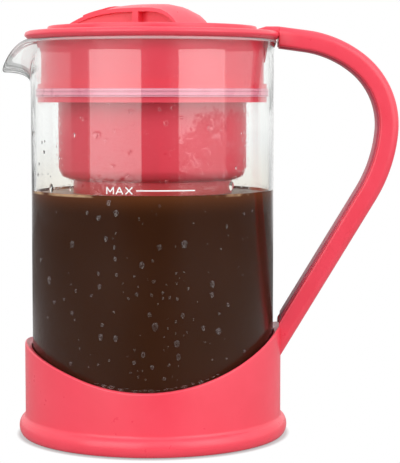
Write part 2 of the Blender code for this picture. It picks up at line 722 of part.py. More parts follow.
def build_lid(material, gasket_material):
    lid = revolve("lid_plate", lid_outline(), material)
    add_gusset(lid)
    add_tab(lid)
    cut_lid_openings(lid)
    cut_bayonet(lid)
    inner = COLLAR_RADIUS + CLEARANCE
    outer = GLASS_BORE - CLEARANCE
    low = GASKET_BOTTOM + CLEARANCE
    high = GASKET_TOP - CLEARANCE
    waist = outer - CLEARANCE * 2
    middle = (low + high) / 2
    outline = [(inner, low), (FLANGE_RADIUS, low), (outer, low + CLEARANCE), (waist, middle)]
    outline += [(outer, high - CLEARANCE), (FLANGE_RADIUS, high), (inner, high)]
    revolve("lid_gasket", outline, gasket_material)


def grip_height(along, across):
    """The grip's roof above the cap's edge, an arch along it and a slight crown across."""
    if along < 0:
        arch = 1 - (-along / GRIP_SPOUT_LENGTH) ** GRIP_SPOUT_POWER
    else:
        arch = 1 - (along / GRIP_TAIL_LENGTH) ** GRIP_TAIL_POWER
    fall = (across / GRIP_HALF_WIDTH) ** 2
    return max(arch, 0) * (GRIP_HEIGHT - GRIP_EDGE_DROP * fall)


def grip_point(along, across, height):
    turn = Matrix.Rotation(GRIP_ANGLE, 3, "Z")
    return turn @ Vector((along, across, height))


def grip_body(name, start, end, rise, half_width, sunk):
    """A hump over part of the grip's length, whose roof stands the given rise above the arch."""
    rings = []
    for step in range(GRIP_ALONG + 1):
        along = start + (end - start) * (1 - cos(pi * step / GRIP_ALONG)) / 2
        ring = [grip_point(along, -half_width, CAP_TOP - sunk)]
        for lane in range(GRIP_ACROSS + 1):
            across = half_width * (2 * lane / GRIP_ACROSS - 1)
            ring.append(grip_point(along, across, CAP_TOP + rise + grip_height(along, across)))
        ring.append(grip_point(along, half_width, CAP_TOP - sunk))
        rings.append(ring)
    return loft(name, rings, None)


def grip_pocket(name, post, end, side, end_recess):
    """A finger recess in the grip's side, under its roof, from the post to an end with a depth of its own."""
    floor = CAP_TOP + CAP_CROWN
    outline = [(end, floor), (post, floor)]
    for step in range(GRIP_POCKET_STEPS + 1):
        along = post + (end - post) * sin(pi / 2 * step / GRIP_POCKET_STEPS)
        roof = CAP_TOP + grip_height(along, GRIP_HALF_WIDTH) - GRIP_ROOF
        outline.append((along, max(roof, floor + CLEARANCE)))
    near, far = [], []
    for along, height in outline:
        recess = GRIP_RECESS + (end_recess - GRIP_RECESS) * (along - post) / (end - post)
        near.append(grip_point(along, side * (GRIP_HALF_WIDTH - recess), height))
        far.append(grip_point(along, side * (GRIP_HALF_WIDTH + OVERRUN), height))
    return loft(name, (near, far), None)


def build_cap(material):
    crown = CAP_TOP + CAP_CROWN
    rounding = CAP_ROUNDING
    hole = HUB_SCREW_RADIUS + CLEARANCE
    hole_top = HUB_SCREW_HEAD_TOP + HUB_SCREW_GRIP + SHUTTER_DISC + WASHER_THICKNESS
    outline = [(0, crown), (CAP_RADIUS / 2, crown - CAP_CROWN / 4), (CAP_RADIUS - 2 * rounding, CAP_TOP)]
    outline += arc((CAP_RADIUS - rounding, CAP_TOP - rounding), rounding, pi / 3, 0, 2)
    outline += [(CAP_RADIUS, CAP_BOTTOM), (HUB_RADIUS, CAP_BOTTOM), (HUB_RADIUS, HUB_BOTTOM)]
    outline += [(hole, HUB_BOTTOM), (hole, hole_top), (0, hole_top)]
    cap = revolve_solid("lid_cap", outline, material)
    start, end = -GRIP_SPOUT_LENGTH, GRIP_TAIL_LENGTH
    grip = grip_body("helper_grip", start, end, 0, GRIP_HALF_WIDTH, CAP_EDGE_HEIGHT / 2)
    add(cap, grip)
    mark_start = start + MARK_NEAR - MARK_LENGTH / 2
    mark_half_width = GRIP_HALF_WIDTH - MARK_RISE
    mark_end = mark_start + MARK_LENGTH
    add(cap, grip_body("helper_grip_mark", mark_start, mark_end, MARK_RISE, mark_half_width, -CLEARANCE))
    post = GRIP_POST / 2
    for side, side_name in ((-1, "front"), (1, "back")):
        cut(cap, grip_pocket(f"cutter_pocket_{side_name}_spout", -post, start + GRIP_POST, side, CLEARANCE))
        cut(cap, grip_pocket(f"cutter_pocket_{side_name}_tail", post, end - GRIP_ROOF, side, GRIP_RECESS))


def build_shutter(material):
    hole = HUB_SCREW_RADIUS + CLEARANCE
    skirt_bottom = SHUTTER_TOP - SHUTTER_SKIRT
    outline = [
        (hole, SHUTTER_TOP),
        (SHUTTER_RADIUS, SHUTTER_TOP),
        (SHUTTER_RADIUS, skirt_bottom),
        (SHUTTER_BORE, skirt_bottom),
        (SHUTTER_BORE, SHUTTER_UNDERSIDE),
        (hole, SHUTTER_UNDERSIDE),
    ]
    shutter = revolve("pour_shutter", outline, material)
    centre = pi - KNOB_TRAVEL
    window = sector(
        "cutter_shutter_window", SHUTTER_BORE - OVERRUN, SHUTTER_RADIUS + OVERRUN, WINDOW_BOTTOM, WINDOW_TOP,
        centre - WINDOW_HALF_ANGLE, centre + WINDOW_HALF_ANGLE,
    )
    cut(shutter, window)


def build_hub_fasteners(material):
    hole = HUB_SCREW_RADIUS + CLEARANCE
    edge = WASHER_RADIUS
    outline = [(hole, WASHER_TOP), (edge, WASHER_TOP), (edge, WASHER_BOTTOM), (hole, WASHER_BOTTOM)]
    revolve("hub_washer", outline, material, sides=SIDES // 3)
    top = HUB_SCREW_HEAD_TOP
    shaft_top = top + HUB_SCREW_GRIP + SHUTTER_DISC
    bottom = top - HUB_SCREW_HEAD_HEIGHT
    outline = [
        (0, shaft_top),
        (HUB_SCREW_RADIUS, shaft_top),
        (HUB_SCREW_RADIUS, top),
        (HUB_SCREW_HEAD_RADIUS, top),
        (HUB_SCREW_HEAD_RADIUS, bottom + HUB_SCREW_HEAD_HEIGHT / 2),
        (HUB_SCREW_HEAD_RADIUS * 3 / 4, bottom),
        (0, bottom),
    ]
    revolve_solid("hub_screw", outline, material, sides=SCREW_SIDES)


def build_cup(material, seal_material):
    bore = CUP_RADIUS - CUP_WALL
    hole = CAGE_RADIUS + CLEARANCE
    corner = CUP_CORNER
    inner_corner = CUP_CORNER - CUP_WALL
    floor = CUP_BOTTOM + CUP_FLOOR
    outline = [(bore, CUP_TOP), (CUP_RADIUS, CUP_TOP)]
    outline += arc((CUP_RADIUS - corner, CUP_BOTTOM + corner), corner, 0, -pi / 2, 2)
    neck = hole + NECK_WALL
    neck_bottom = CUP_BOTTOM - NECK_HEIGHT
    outline += [(neck, CUP_BOTTOM), (neck, neck_bottom), (hole, neck_bottom), (hole, floor)]
    outline += arc((bore - inner_corner, floor + inner_corner), inner_corner, -pi / 2, 0, 2)
    cup = revolve("brew_cup", outline, material)
    for index in range(LUG_COUNT):
        angle = FULL_TURN * index / LUG_COUNT
        lug = sector(
            f"helper_lug_{index}", CUP_RADIUS - CUP_WALL / 2, CUP_RADIUS + LUG_REACH, LUG_BOTTOM,
            LUG_BOTTOM + LUG_HEIGHT, angle - LUG_HALF_ANGLE, angle + LUG_HALF_ANGLE, steps=2,
        )
        add(cup, lug)
    low = CUP_TOP + CLEARANCE
    high = low + SEAL_THICKNESS
    inner = bore - SEAL_OVERHANG
    outer = CUP_RADIUS + SEAL_OVERHANG
    edge = SEAL_OVERHANG
    outline = [(inner, low), (outer, low), (outer - edge, high), (inner + edge, high)]
    revolve("cup_seal", outline, seal_material)


def build_cage(material):
    """The ribbed cage: two bands and their rings, cut into windows between the ribs, with a spoked floor."""
    flange = CAGE_RADIUS + CAGE_FLANGE_REACH
    flange_top = CAGE_SEAT + CAGE_FLANGE_HEIGHT
    lip = CAGE_BORE - CAGE_LIP
    floor_hole = CAGE_BORE - CAGE_FLOOR_RIM
    outline = [
        (lip, flange_top),
        (flange, flange_top),
        (flange, CAGE_SEAT),
        (CAGE_RADIUS, CAGE_SEAT),
        (CAGE_RADIUS, CAGE_BOTTOM),
        (floor_hole, CAGE_BOTTOM),
        (floor_hole, CAGE_BOTTOM + CAGE_FLOOR),
        (CAGE_BORE, CAGE_BOTTOM + CAGE_FLOOR),
        (CAGE_BORE, CAGE_SEAT),
        (lip, CAGE_SEAT),
    ]
    cage = revolve("filter_frame", outline, material, sides=FILTER_SIDES)
    bands = CAGE_RING_COUNT + 1
    low = CAGE_BOTTOM + CAGE_BOTTOM_BAND
    high = CUP_BOTTOM - CAGE_TOP_BAND
    pitch = (high - low + CAGE_RING_HEIGHT) / bands
    half_rib = CAGE_RIB_WIDTH / 2 / CAGE_RADIUS
    rib_pitch = FULL_TURN / CAGE_RIB_COUNT
    for rib in range(CAGE_RIB_COUNT):
        start = rib_pitch * rib + half_rib
        end = rib_pitch * rib + rib_pitch - half_rib
        for band in range(bands):
            bottom = low + pitch * band
            window = sector(
                f"cutter_cage_{rib}_{band}", CAGE_BORE - OVERRUN, CAGE_RADIUS + OVERRUN, bottom,
                bottom + pitch - CAGE_RING_HEIGHT, start, end,
            )
            cut(cage, window)
    half = CAGE_SPOKE_WIDTH / 2
    reach = floor_hole + CAGE_FLOOR_RIM / 2
    for name, x, y, sunk in (("along", reach, half, CLEARANCE), ("across", half, reach, CLEARANCE * 3 / 2)):
        low = (-x, -y, CAGE_BOTTOM + sunk)
        high = (x, y, CAGE_BOTTOM + CAGE_FLOOR - sunk)
        add(cage, block("helper_spoke_" + name, low, high))


def build_screens(mesh_material, ring_material):
    inner = SCREEN_RADIUS - SCREEN_THICKNESS
    top = CAGE_SEAT - CLEARANCE
    outline = [(inner, top), (SCREEN_RADIUS, top), (SCREEN_RADIUS, TUBE_BOTTOM), (inner, TUBE_BOTTOM)]
    revolve("filter_mesh", outline, mesh_material, sides=FILTER_SIDES)
    disc_top = SCREEN_BOTTOM + SCREEN_THICKNESS
    outline = [(0, SCREEN_BOTTOM), (SCREEN_RADIUS, SCREEN_BOTTOM), (SCREEN_RADIUS, disc_top), (0, disc_top)]
    revolve_solid("filter_floor_mesh", outline, mesh_material, sides=FILTER_SIDES)
    outer = inner - CLEARANCE
    ring_inner = outer - CLAMP_WALL
    high = TUBE_BOTTOM + CLAMP_HEIGHT
    slope_foot = high - CLAMP_WALL / 2
    outline = [(ring_inner, TUBE_BOTTOM), (outer, TUBE_BOTTOM), (outer, high), (ring_inner, slope_foot)]
    revolve("screen_clamp_ring", outline, ring_material, sides=FILTER_SIDES)


def build_materials():
    return {
        "glass": make_material("clear_glass", CLEAR, 0.02, transmission=1.0),
        "pink": make_material("pink_plastic", PINK, 0.22),
        "cover": make_material("cover_plastic", SHADED_PINK, 0.35),
        "silicone": make_material("milky_silicone", MILKY, 0.45),
        "steel": make_material("screw_steel", STEEL, 0.3, metallic=1.0),
        "screen": make_material("fine_screen", SCREEN_WHITE, 0.6),
    }


def main():
    clear_scene()
    materials = build_materials()
    build_glass(materials["glass"])
    build_holder(materials["pink"])
    build_pads(materials["silicone"])
    build_handle(materials["pink"], materials["cover"])
    build_handle_screws(materials["steel"])
    build_lid(materials["pink"], materials["silicone"])
    build_cap(materials["pink"])
    build_shutter(materials["pink"])
    build_hub_fasteners(materials["steel"])
    build_cup(materials["pink"], materials["silicone"])
    build_cage(materials["pink"])
    build_screens(materials["screen"], materials["pink"])


main()
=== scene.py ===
"""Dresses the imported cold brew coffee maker: glass, coffee, plastic, studio light and camera.

Metres, +Z up. The carafe's axis is at the origin, the handle lies along +X and the camera looks
along +Y. An outline is a row of radii and heights, which a turn about the axis makes solid.
"""

from math import atan2, ceil, cos, hypot, pi, radians, sin, sqrt, tan
from random import Random

import bmesh
import bpy
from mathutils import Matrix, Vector


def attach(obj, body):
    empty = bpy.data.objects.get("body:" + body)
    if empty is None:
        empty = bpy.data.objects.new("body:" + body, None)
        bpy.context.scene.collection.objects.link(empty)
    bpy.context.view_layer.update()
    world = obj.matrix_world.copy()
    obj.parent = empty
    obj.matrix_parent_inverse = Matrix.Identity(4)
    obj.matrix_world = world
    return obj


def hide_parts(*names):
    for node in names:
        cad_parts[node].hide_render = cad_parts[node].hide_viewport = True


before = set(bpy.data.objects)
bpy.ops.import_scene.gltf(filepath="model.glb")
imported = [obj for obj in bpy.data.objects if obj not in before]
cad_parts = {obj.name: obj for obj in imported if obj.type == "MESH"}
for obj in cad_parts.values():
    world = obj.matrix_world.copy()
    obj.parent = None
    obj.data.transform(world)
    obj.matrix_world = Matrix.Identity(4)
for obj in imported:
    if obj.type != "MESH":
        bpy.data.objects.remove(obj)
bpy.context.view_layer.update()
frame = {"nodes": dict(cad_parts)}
nodes = frame["nodes"]

FULL_TURN = 2 * pi
QUARTER_TURN = pi / 2
CLEARANCE = 0.0003
ROUND_COLUMNS = 200
SHARP_ANGLE = radians(50)

# Glass
GLASS_RADIUS = 0.0625
GLASS_WALL = 0.0022
GLASS_BORE = GLASS_RADIUS - GLASS_WALL
GLASS_FLOOR = 0.0026
GLASS_CORNER = 0.008
GLASS_RIM_RADIUS = 0.0638
GLASS_FLARE_HEIGHT = 0.0085
GLASS_BOTTOM = 0.0065
GLASS_TOP = 0.2036
SPOUT_DEPTH = 0.0235
SPOUT_REACH = 0.0123
SPOUT_DROP = 0.0151
SPOUT_THROAT = 0.0165
SPOUT_HALF_ANGLE = radians(30)
SPOUT_SHARPNESS = 1.3
SPOUT_DIP_POWER = 2.2
RIM_CLEAR_FROM = 0.7  # weight of the spout from which the rim is clear, without the rim's painted highlight
OUTER_GLASS, WET_GLASS, GLASS_BELOW, RIM_GLASS = range(4)

# Coffee
COFFEE_TOP = 0.1258
COFFEE_RADIUS = 0.0611  # reaches into the wall, so that no gap shows
COFFEE_SINK = 0.0006  # and so does this, into the floor
MENISCUS_RISE = 0.0011
MENISCUS_CURVE = 0.0012
MENISCUS_GAP = 0.0001

# Lid seal
GASKET_RADIUS = 0.0600
GASKET_BORE = 0.0577
GASKET_GROOVE = 0.0004
GASKET_RIB = 0.0005
GASKET_BOTTOM = 0.17465
GASKET_TOP = 0.17875

# Base holder
HOLDER_BORE = GLASS_RADIUS + 0.0004
HOLDER_RADIUS = HOLDER_BORE + 0.0036
HOLDER_LIFT = 0.0006
HOLDER_FLOOR_TOP = HOLDER_LIFT + 0.0038
HOLDER_HEIGHT = 0.066
HOLDER_ROUNDING = 0.0009
HOLDER_COLUMNS = 192
BEAD_REACH = 0.0032
BEAD_HEIGHT = 0.0089
BEAD_START = radians(-60)
BEAD_END = radians(60)
BEAD_FILLET = 0.0016
SWEEP_RADIUS = 0.1065
SWEEP_LOWEST = 0.0316
SWEEP_OFFSET = -0.0025
SWEEP_EASE_START = -0.035
SWEEP_EASE = 4.6
GROOVE_WIDTH = 0.0048
GROOVE_DEPTH = 0.0068
GROOVE_RIM = 0.0026
PAD_RECESS = HOLDER_RADIUS - 0.0145 + CLEARANCE
PAD_RECESS_TOP = 0.0017 + CLEARANCE

# Handle
HANDLE_START = 0.0651
HANDLE_START_BACK = 0.00042
HANDLE_TOP = 0.2103
HANDLE_FOOT_BELOW_EDGE = 0.00575
HANDLE_THICKNESS = 0.0101
HANDLE_WIDTH = 0.021
HANDLE_WALL = 0.0026
HANDLE_OUTER_CORNER = 0.0038
HANDLE_INNER_CORNER = 0.0014
HANDLE_TILT = radians(-7.6)
HANDLE_TOP_RUN = 0.0137
HANDLE_BENDS = ((0.0555, radians(31.4)), (0.0406, radians(56.3)), (0.0759, radians(25.8)))
HANDLE_STEP = radians(2.5)
HANDLE_END_ROUNDING = 0.0003
HANDLE_BED = 0.0005
COVER_THICKNESS = 0.0030
COVER_PROUD = 0.0008
COVER_CORNER = 0.0009

# Fill mark
MARK_HEIGHT = 0.1296
MARK_THICKNESS = 0.0006
MARK_START = -0.0062
MARK_END = 0.0226
WORD_START = -0.0208
LETTER_HEIGHT = 0.0034
LETTER_WIDTH = 0.0034
LETTER_PITCH = 0.0047
LETTER_STROKES = (
    (0, ((0, 0), (0, 1), (0.5, 0.3), (1, 1), (1, 0))),
    (1, ((0, 0), (0.5, 1), (1, 0))),
    (1, ((0.2, 0.33), (0.8, 0.33))),
    (2, ((0, 0), (1, 1))),
    (2, ((0, 1), (1, 0))),
)
STROKE_WIDTH = 0.0006
STROKE_STEP = 0.002
PRINT_THICKNESS = 0.00005

# Water drops
DROP_SEED = 11
DROP_COUNT = 170
DROP_RINGS = 4
DROP_SIDES = 12
DROP_SAG = 0.25
DROP_TOP_SINK = 0.1
DROP_SMALLEST = 0.00028
DROP_USUAL_GROWTH = 0.00040
DROP_LARGEST = 0.0016
DROP_SPACING = 2.2
DROP_FARTHEST = 0.085
DROP_TALL = (1.0, 1.35)
DROP_FLAT = (0.32, 0.45)
MARK_CLEAR_HEIGHT = 0.004
MARK_CLEAR_ALONG = 0.03
# The share of drops up to a zone's end, its middle and spread along the glass, and its heights
DROP_ZONES = (
    (0.14, (-0.062, 0.010), (0.1285, 0.160)),
    (0.80, (0.004, 0.024), (0.036, 0.120)),
    (1.00, (0.004, 0.024), (0.120, 0.172)),
)
EDGE_DROPS_START = -0.028
EDGE_DROPS_END = 0.036
EDGE_DROP_SIZE = (0.0008, 0.0019)
EDGE_DROP_LIFT = (0.0006, 0.0016)
EDGE_DROP_GAP = (0.0002, 0.0016)
EDGE_DROP_TALL = (0.30, 0.55)
EDGE_DROP_FLAT = 0.30

# Colours
WHITE = (1.0, 1.0, 1.0)
CORAL = (0.875, 0.064, 0.103)
CORAL_SHADE = (0.85, 0.058, 0.093)
# Darker coral for the brew cup's lower end
CORAL_LOW_DARK = (0.50, 0.060, 0.055)
# The handle's inner strip: coral painted darker, as painted shade for the shade on the handle's
# inner side
LINING_PAINTED_SHADE = (0.55, 0.055, 0.10)
LINING_PAINTED_SHADE_DEEP = (0.50, 0.050, 0.09)
SEAL = (0.88, 0.36, 0.46)
SEAL_SHADE = (0.85, 0.30, 0.40)
PAD = (0.80, 0.76, 0.76)
PAD_SHADE = (0.74, 0.70, 0.70)
STEEL = (0.78, 0.78, 0.80)
STEEL_SHADE = (0.55, 0.55, 0.57)
THREAD = (0.84, 0.81, 0.76)
THREAD_GAP = (0.42, 0.36, 0.30)
PRINT = (0.97, 0.97, 0.96)
PRINT_SHADE = (0.88, 0.88, 0.88)
CLEAR = (0.985, 0.995, 0.985)
WATERLINE_TAN = (0.965, 0.925, 0.845)
# White diffuse share of the glass rim: painted highlight
RIM_PAINTED_HIGHLIGHT = (0.95, 0.93, 0.93)
GLASS_SHADOW = (0.94, 0.94, 0.94)
WATER_SHADOW = (0.97, 0.97, 0.97)
COFFEE_DEEP = (0.032, 0.0102, 0.0037)
COFFEE_CLOUD = (0.045, 0.0152, 0.0060)
# Redder coffee just under its top: painted light from the open surface
COFFEE_PAINTED_GLOW = (0.105, 0.032, 0.011)
COFFEE_CLINGING = (0.52, 0.33, 0.19)
COFFEE_OPEN = (0.12, 0.055, 0.030)
COFFEE_FROTH = (0.38, 0.28, 0.20)
TABLE = (0.45, 0.45, 0.45)
# Darker table far from the object: painted shade that fades it into the dim room
TABLE_PAINTED_SHADE_FAR = (0.22, 0.22, 0.22)

# Looks
GLASS_IOR = 1.30  # low, because a higher one mirrors the room as a veil over the coffee
GLASS_MIST = 0.22
MIST_FADE = 0.032
OUTER_WAVES = 0.05
WAVES_BELOW = 0.02
CORAL_ROUGHNESS = 0.30
LINING_ROUGHNESS = 0.45
FILM_EDGE = ((0.0126, 0.1500), (0.0262, 0.1670))  # X and Z between which the film's edge climbs
FILM_EDGE_BLUR = 0.0006
FILM_RAGGED = 0.030
FILM_BY_SPOUT_TO = (0.004, 0.006)  # X where the lower film of the spout's side ends
FILM_BY_SPOUT_FROM = (0.1325, 0.1345)  # and the heights where it starts
BEADS_END = (-0.045, -0.030)
TAN_FADE = 0.026
PAINTED_GLOW_DEPTH = 0.010
FINE_DEPTH = 0.0002
SWELL_DEPTH = 0.002
# Heights over which the brew cup turns from darker below to plain coral above
LOW_DARK_HEIGHTS = (0.1255, 0.1345)
THREADS_ROUND = 220.0
THREADS_UP = 6500.0

# Room: levels of light, by the heading from the object as parts of a unit vector
ROOM_FRONT = 0.06
ROOM_SIDES = 0.36
ROOM_BESIDE = 0.6
ROOM_BEHIND = 0.56
ROOM_CEILING = 0.95

# Softboxes: name, heading from -Y towards +X, width and radiance
SOFTBOXES = (
    ("softbox_left", radians(-33.7), 1.03, 2.05),
    ("softbox_right", radians(49), 0.95, 2.0),
)
SOFTBOX_HEIGHT = 0.70
SOFTBOX_DISTANCE = 1.1
SOFTBOX_TALL = 1.3

# Table: it ends close in front of the object, because the glass mirrors it
TABLE_REACH = 1.0
TABLE_FRONT = -0.16
TABLE_PAINTED_SHADE_SPAN = (0.42, 0.58)
SHADOW_EDGE = (0.0695, 0.0715)
SHADOW_GLOW = 0.40

# Camera
CAMERA_PLACE = (0.0245, -0.84, 0.175)
CAMERA_DIP = 4.774
HALF_FIELD = radians(8.121)
SENSOR_HEIGHT = 24.0
CLIP_END = 50.0


# Nodes and materials


def new_material(name):
    material = bpy.data.materials.new(name)
    material.use_nodes = True
    tree = material.node_tree
    return material, tree, tree.nodes["Principled BSDF"], tree.nodes["Material Output"]


def put(tree, kind, **values):
    node = tree.nodes.new(kind)
    for key, value in values.items():
        setattr(node, key, value)
    return node


def preset(node, **values):
    """Sets a node's sockets, named with _ for a space; a colour is given as three numbers."""
    for key, value in values.items():
        value = (*value, 1.0) if isinstance(value, tuple) else value
        node.inputs[key.replace("_", " ")].default_value = value
    return node


def drive(tree, node, **values):
    """Links values to a node's sockets, named with _ for a space."""
    for key, value in values.items():
        tree.links.new(value, node.inputs[key.replace("_", " ")])
    return node


def object_place(tree):
    return put(tree, "ShaderNodeTexCoord").outputs["Object"]


def place_parts(tree):
    return drive(tree, put(tree, "ShaderNodeSeparateXYZ"), Vector=object_place(tree)).outputs


def join(tree, operation, first, second=None):
    """A Math node over links or numbers."""
    node = put(tree, "ShaderNodeMath", operation=operation)
    for socket, value in zip(node.inputs, (first, second)):
        if isinstance(value, (int, float)):
            socket.default_value = value
        elif value is not None:
            tree.links.new(value, socket)
    return node.outputs[0]


def noise_value(tree, scale, detail=2.0, roughness=0.5, distortion=0.0):
    node = put(tree, "ShaderNodeTexNoise")
    preset(node, Scale=scale, Detail=detail, Roughness=roughness, Distortion=distortion)
    return drive(tree, node, Vector=object_place(tree)).outputs["Fac"]


def centred(tree, noise):
    return join(tree, "SUBTRACT", noise, 0.5)


def remap(tree, value, low, high, to_low=0.0, to_high=1.0):
    node = put(tree, "ShaderNodeMapRange", clamp=True)
    preset(node, From_Min=low, From_Max=high, To_Min=to_low, To_Max=to_high)
    return drive(tree, node, Value=value).outputs["Result"]


def mix_colour(tree, share, first, second):
    node = put(tree, "ShaderNodeMix", data_type="RGBA")
    tree.links.new(share, node.inputs["Factor"])
    for name, value in (("A", first), ("B", second)):
        socket = [item for item in node.inputs if item.name == name and item.type == "RGBA"][0]
        if isinstance(value, tuple):
            socket.default_value = (*value, 1.0)
        else:
            tree.links.new(value, socket)
    return [item for item in node.outputs if item.type == "RGBA"][0]


def mix_shaders(tree, share, first, second, output):
    blend = put(tree, "ShaderNodeMixShader")
    tree.links.new(share, blend.inputs["Fac"])
    tree.links.new(first.outputs[0], blend.inputs[1])
    tree.links.new(second.outputs[0], blend.inputs[2])
    drive(tree, output, Surface=blend.outputs["Shader"])


def bump(tree, height, strength, distance):
    node = preset(put(tree, "ShaderNodeBump"), Strength=strength, Distance=distance)
    return drive(tree, node, Height=height).outputs["Normal"]


def blown_swell(tree):
    """The slow waves of a blown wall."""
    return noise_value(tree, 14.0, 1.0, 0.4)


def see_through(tree, shader, output, tint):
    """Lets lamp and bounce light straight through a clear shader, a little dimmed."""
    clear = preset(put(tree, "ShaderNodeBsdfTransparent"), Color=tint)
    path = put(tree, "ShaderNodeLightPath").outputs
    either = join(tree, "MAXIMUM", path["Is Shadow Ray"], path["Is Diffuse Ray"])
    mix_shaders(tree, either, shader, clear, output)


def moulded_plastic(name, light, dark, roughness):
    """Satin plastic: a faint flow of colour, roughness that wanders and a fine moulded grain."""
    material, tree, shader, _ = new_material(name)
    flow = noise_value(tree, 60.0, 3.0, 0.55, 0.4)
    smear = noise_value(tree, 180.0, 4.0, 0.6)
    drive(
        tree,
        shader,
        Base_Color=mix_colour(tree, remap(tree, flow, 0.35, 0.65), dark, light),
        Roughness=remap(tree, smear, 0.3, 0.7, roughness - 0.03, roughness + 0.05),
        Normal=bump(tree, noise_value(tree, 2600.0), 0.02, FINE_DEPTH),
    )
    return material


def darker_below_plastic(name):
    """Coral plastic that is darker at its lower end, below a ragged height."""
    material = moulded_plastic(name, CORAL, CORAL_SHADE, CORAL_ROUGHNESS)
    tree = material.node_tree
    colour = tree.nodes["Principled BSDF"].inputs["Base Color"]
    clean = colour.links[0].from_socket
    ragged = join(tree, "MULTIPLY", centred(tree, noise_value(tree, 90.0, 4.0, 0.6)), 0.004)
    height = join(tree, "ADD", place_parts(tree)["Z"], ragged)
    above_low_dark = remap(tree, height, *LOW_DARK_HEIGHTS)
    tree.links.new(mix_colour(tree, above_low_dark, CORAL_LOW_DARK, clean), colour)
    return material


def clear_glass(name, waves):
    """Blown glass: a faint swell, dull smears, and mist where the cold coffee stands behind it."""
    material, tree, shader, output = new_material(name)
    preset(shader, Base_Color=CLEAR, Transmission_Weight=1.0, IOR=GLASS_IOR)
    smear = noise_value(tree, 35.0, 3.0)
    height = join(tree, "ADD", place_parts(tree)["Z"], join(tree, "MULTIPLY", smear, 0.006))
    mist = remap(tree, height, COFFEE_TOP - MIST_FADE, COFFEE_TOP + 0.002, GLASS_MIST, 0.0)
    dull = join(tree, "ADD", remap(tree, smear, 0.45, 0.8, 0.0, 0.012), mist)
    drive(tree, shader, Roughness=dull, Normal=bump(tree, blown_swell(tree), waves, SWELL_DEPTH))
    see_through(tree, shader, output, GLASS_SHADOW)
    return material


def painted_highlight_rim(name):
    """The glass's rounded rim, part white diffuse: a painted highlight for the bright lines on the
    rim.
    """
    material, tree, shader, output = new_material(name)
    preset(shader, Base_Color=RIM_PAINTED_HIGHLIGHT, Transmission_Weight=0.70, IOR=GLASS_IOR)
    pull = noise_value(tree, 120.0)
    drive(tree, shader, Roughness=remap(tree, pull, 0.3, 0.7, 0.02, 0.10))
    see_through(tree, shader, output, GLASS_SHADOW)
    return material


def wet_glass(name):
    """The glass above the coffee, wet on its inner side.

    Its film mirrors and is broken where it has run off. It has a tan tint near the coffee, and fine
    beads where it faces the front.
    """
    material, tree, shader, output = new_material(name)
    preset(shader, Transmission_Weight=1.0, IOR=GLASS_IOR, Coat_IOR=1.62, Coat_Roughness=0.02)
    parts = place_parts(tree)
    clean = remap(tree, parts["Z"], COFFEE_TOP + 0.002, COFFEE_TOP + TAN_FADE)
    ragged = centred(tree, noise_value(tree, 330.0, 5.0, 0.7, 0.6))
    height = join(tree, "ADD", parts["Z"], join(tree, "MULTIPLY", ragged, FILM_RAGGED))
    (start_x, start_z), (end_x, end_z) = FILM_EDGE
    edge = remap(tree, parts["X"], start_x, end_x, start_z, end_z)
    film = remap(tree, join(tree, "SUBTRACT", height, edge), -FILM_EDGE_BLUR, FILM_EDGE_BLUR)
    above_coffee = remap(tree, height, *FILM_BY_SPOUT_FROM)
    towards_spout = remap(tree, parts["X"], *FILM_BY_SPOUT_TO, 1.0, 0.0)
    spout_side = join(tree, "MULTIPLY", towards_spout, above_coffee)
    run_off = remap(tree, noise_value(tree, 210.0, 5.0, 0.7, 0.8), 0.56, 0.60, 0.0, 0.7)
    wet = join(tree, "MAXIMUM", join(tree, "MAXIMUM", film, spout_side), run_off)
    mist = noise_value(tree, 1400.0, 3.0, 0.6)
    beads = remap(tree, noise_value(tree, 800.0), 0.60, 0.70, 0.0, 0.6)
    facing = remap(tree, parts["Y"], *BEADS_END, 1.0, 0.0)
    relief = join(tree, "ADD", blown_swell(tree), join(tree, "MULTIPLY", beads, facing))
    drive(
        tree,
        shader,
        Base_Color=mix_colour(tree, clean, WATERLINE_TAN, CLEAR),
        Coat_Weight=wet,
        Roughness=remap(tree, mist, 0.62, 0.75, 0.0, 0.05),
        Normal=bump(tree, relief, 0.08, SWELL_DEPTH),
    )
    see_through(tree, shader, output, GLASS_SHADOW)
    return material


def silicone(name, light, dark):
    material, tree, shader, _ = new_material(name)
    preset(shader, IOR=1.41)
    cloud = noise_value(tree, 90.0, 3.0)
    drive(
        tree,
        shader,
        Base_Color=mix_colour(tree, remap(tree, cloud, 0.35, 0.65), dark, light),
        Roughness=remap(tree, cloud, 0.3, 0.7, 0.24, 0.36),
        Normal=bump(tree, noise_value(tree, 1800.0), 0.05, FINE_DEPTH),
    )
    return material


def turned_steel(name):
    material, tree, shader, _ = new_material(name)
    preset(shader, Metallic=1.0)
    turned = noise_value(tree, 900.0, 3.0, 0.6)
    drive(
        tree,
        shader,
        Base_Color=mix_colour(tree, turned, STEEL_SHADE, STEEL),
        Roughness=remap(tree, turned, 0.3, 0.7, 0.22, 0.38),
    )
    return material


def woven_screen(name):
    """Fine woven nylon: two crossed thread waves round the tube."""
    material, tree, shader, _ = new_material(name)
    preset(shader, Roughness=0.55)
    parts = place_parts(tree)
    turn = join(tree, "ARCTAN2", parts["Y"], parts["X"])
    waves = []
    for value, rate in ((turn, THREADS_ROUND), (parts["Z"], THREADS_UP)):
        waves.append(join(tree, "SINE", join(tree, "MULTIPLY", value, rate)))
    height = remap(tree, join(tree, "MAXIMUM", waves[0], waves[1]), -1.0, 1.0)
    drive(
        tree,
        shader,
        Base_Color=mix_colour(tree, height, THREAD_GAP, THREAD),
        Normal=bump(tree, height, 0.6, 0.0003),
    )
    return material


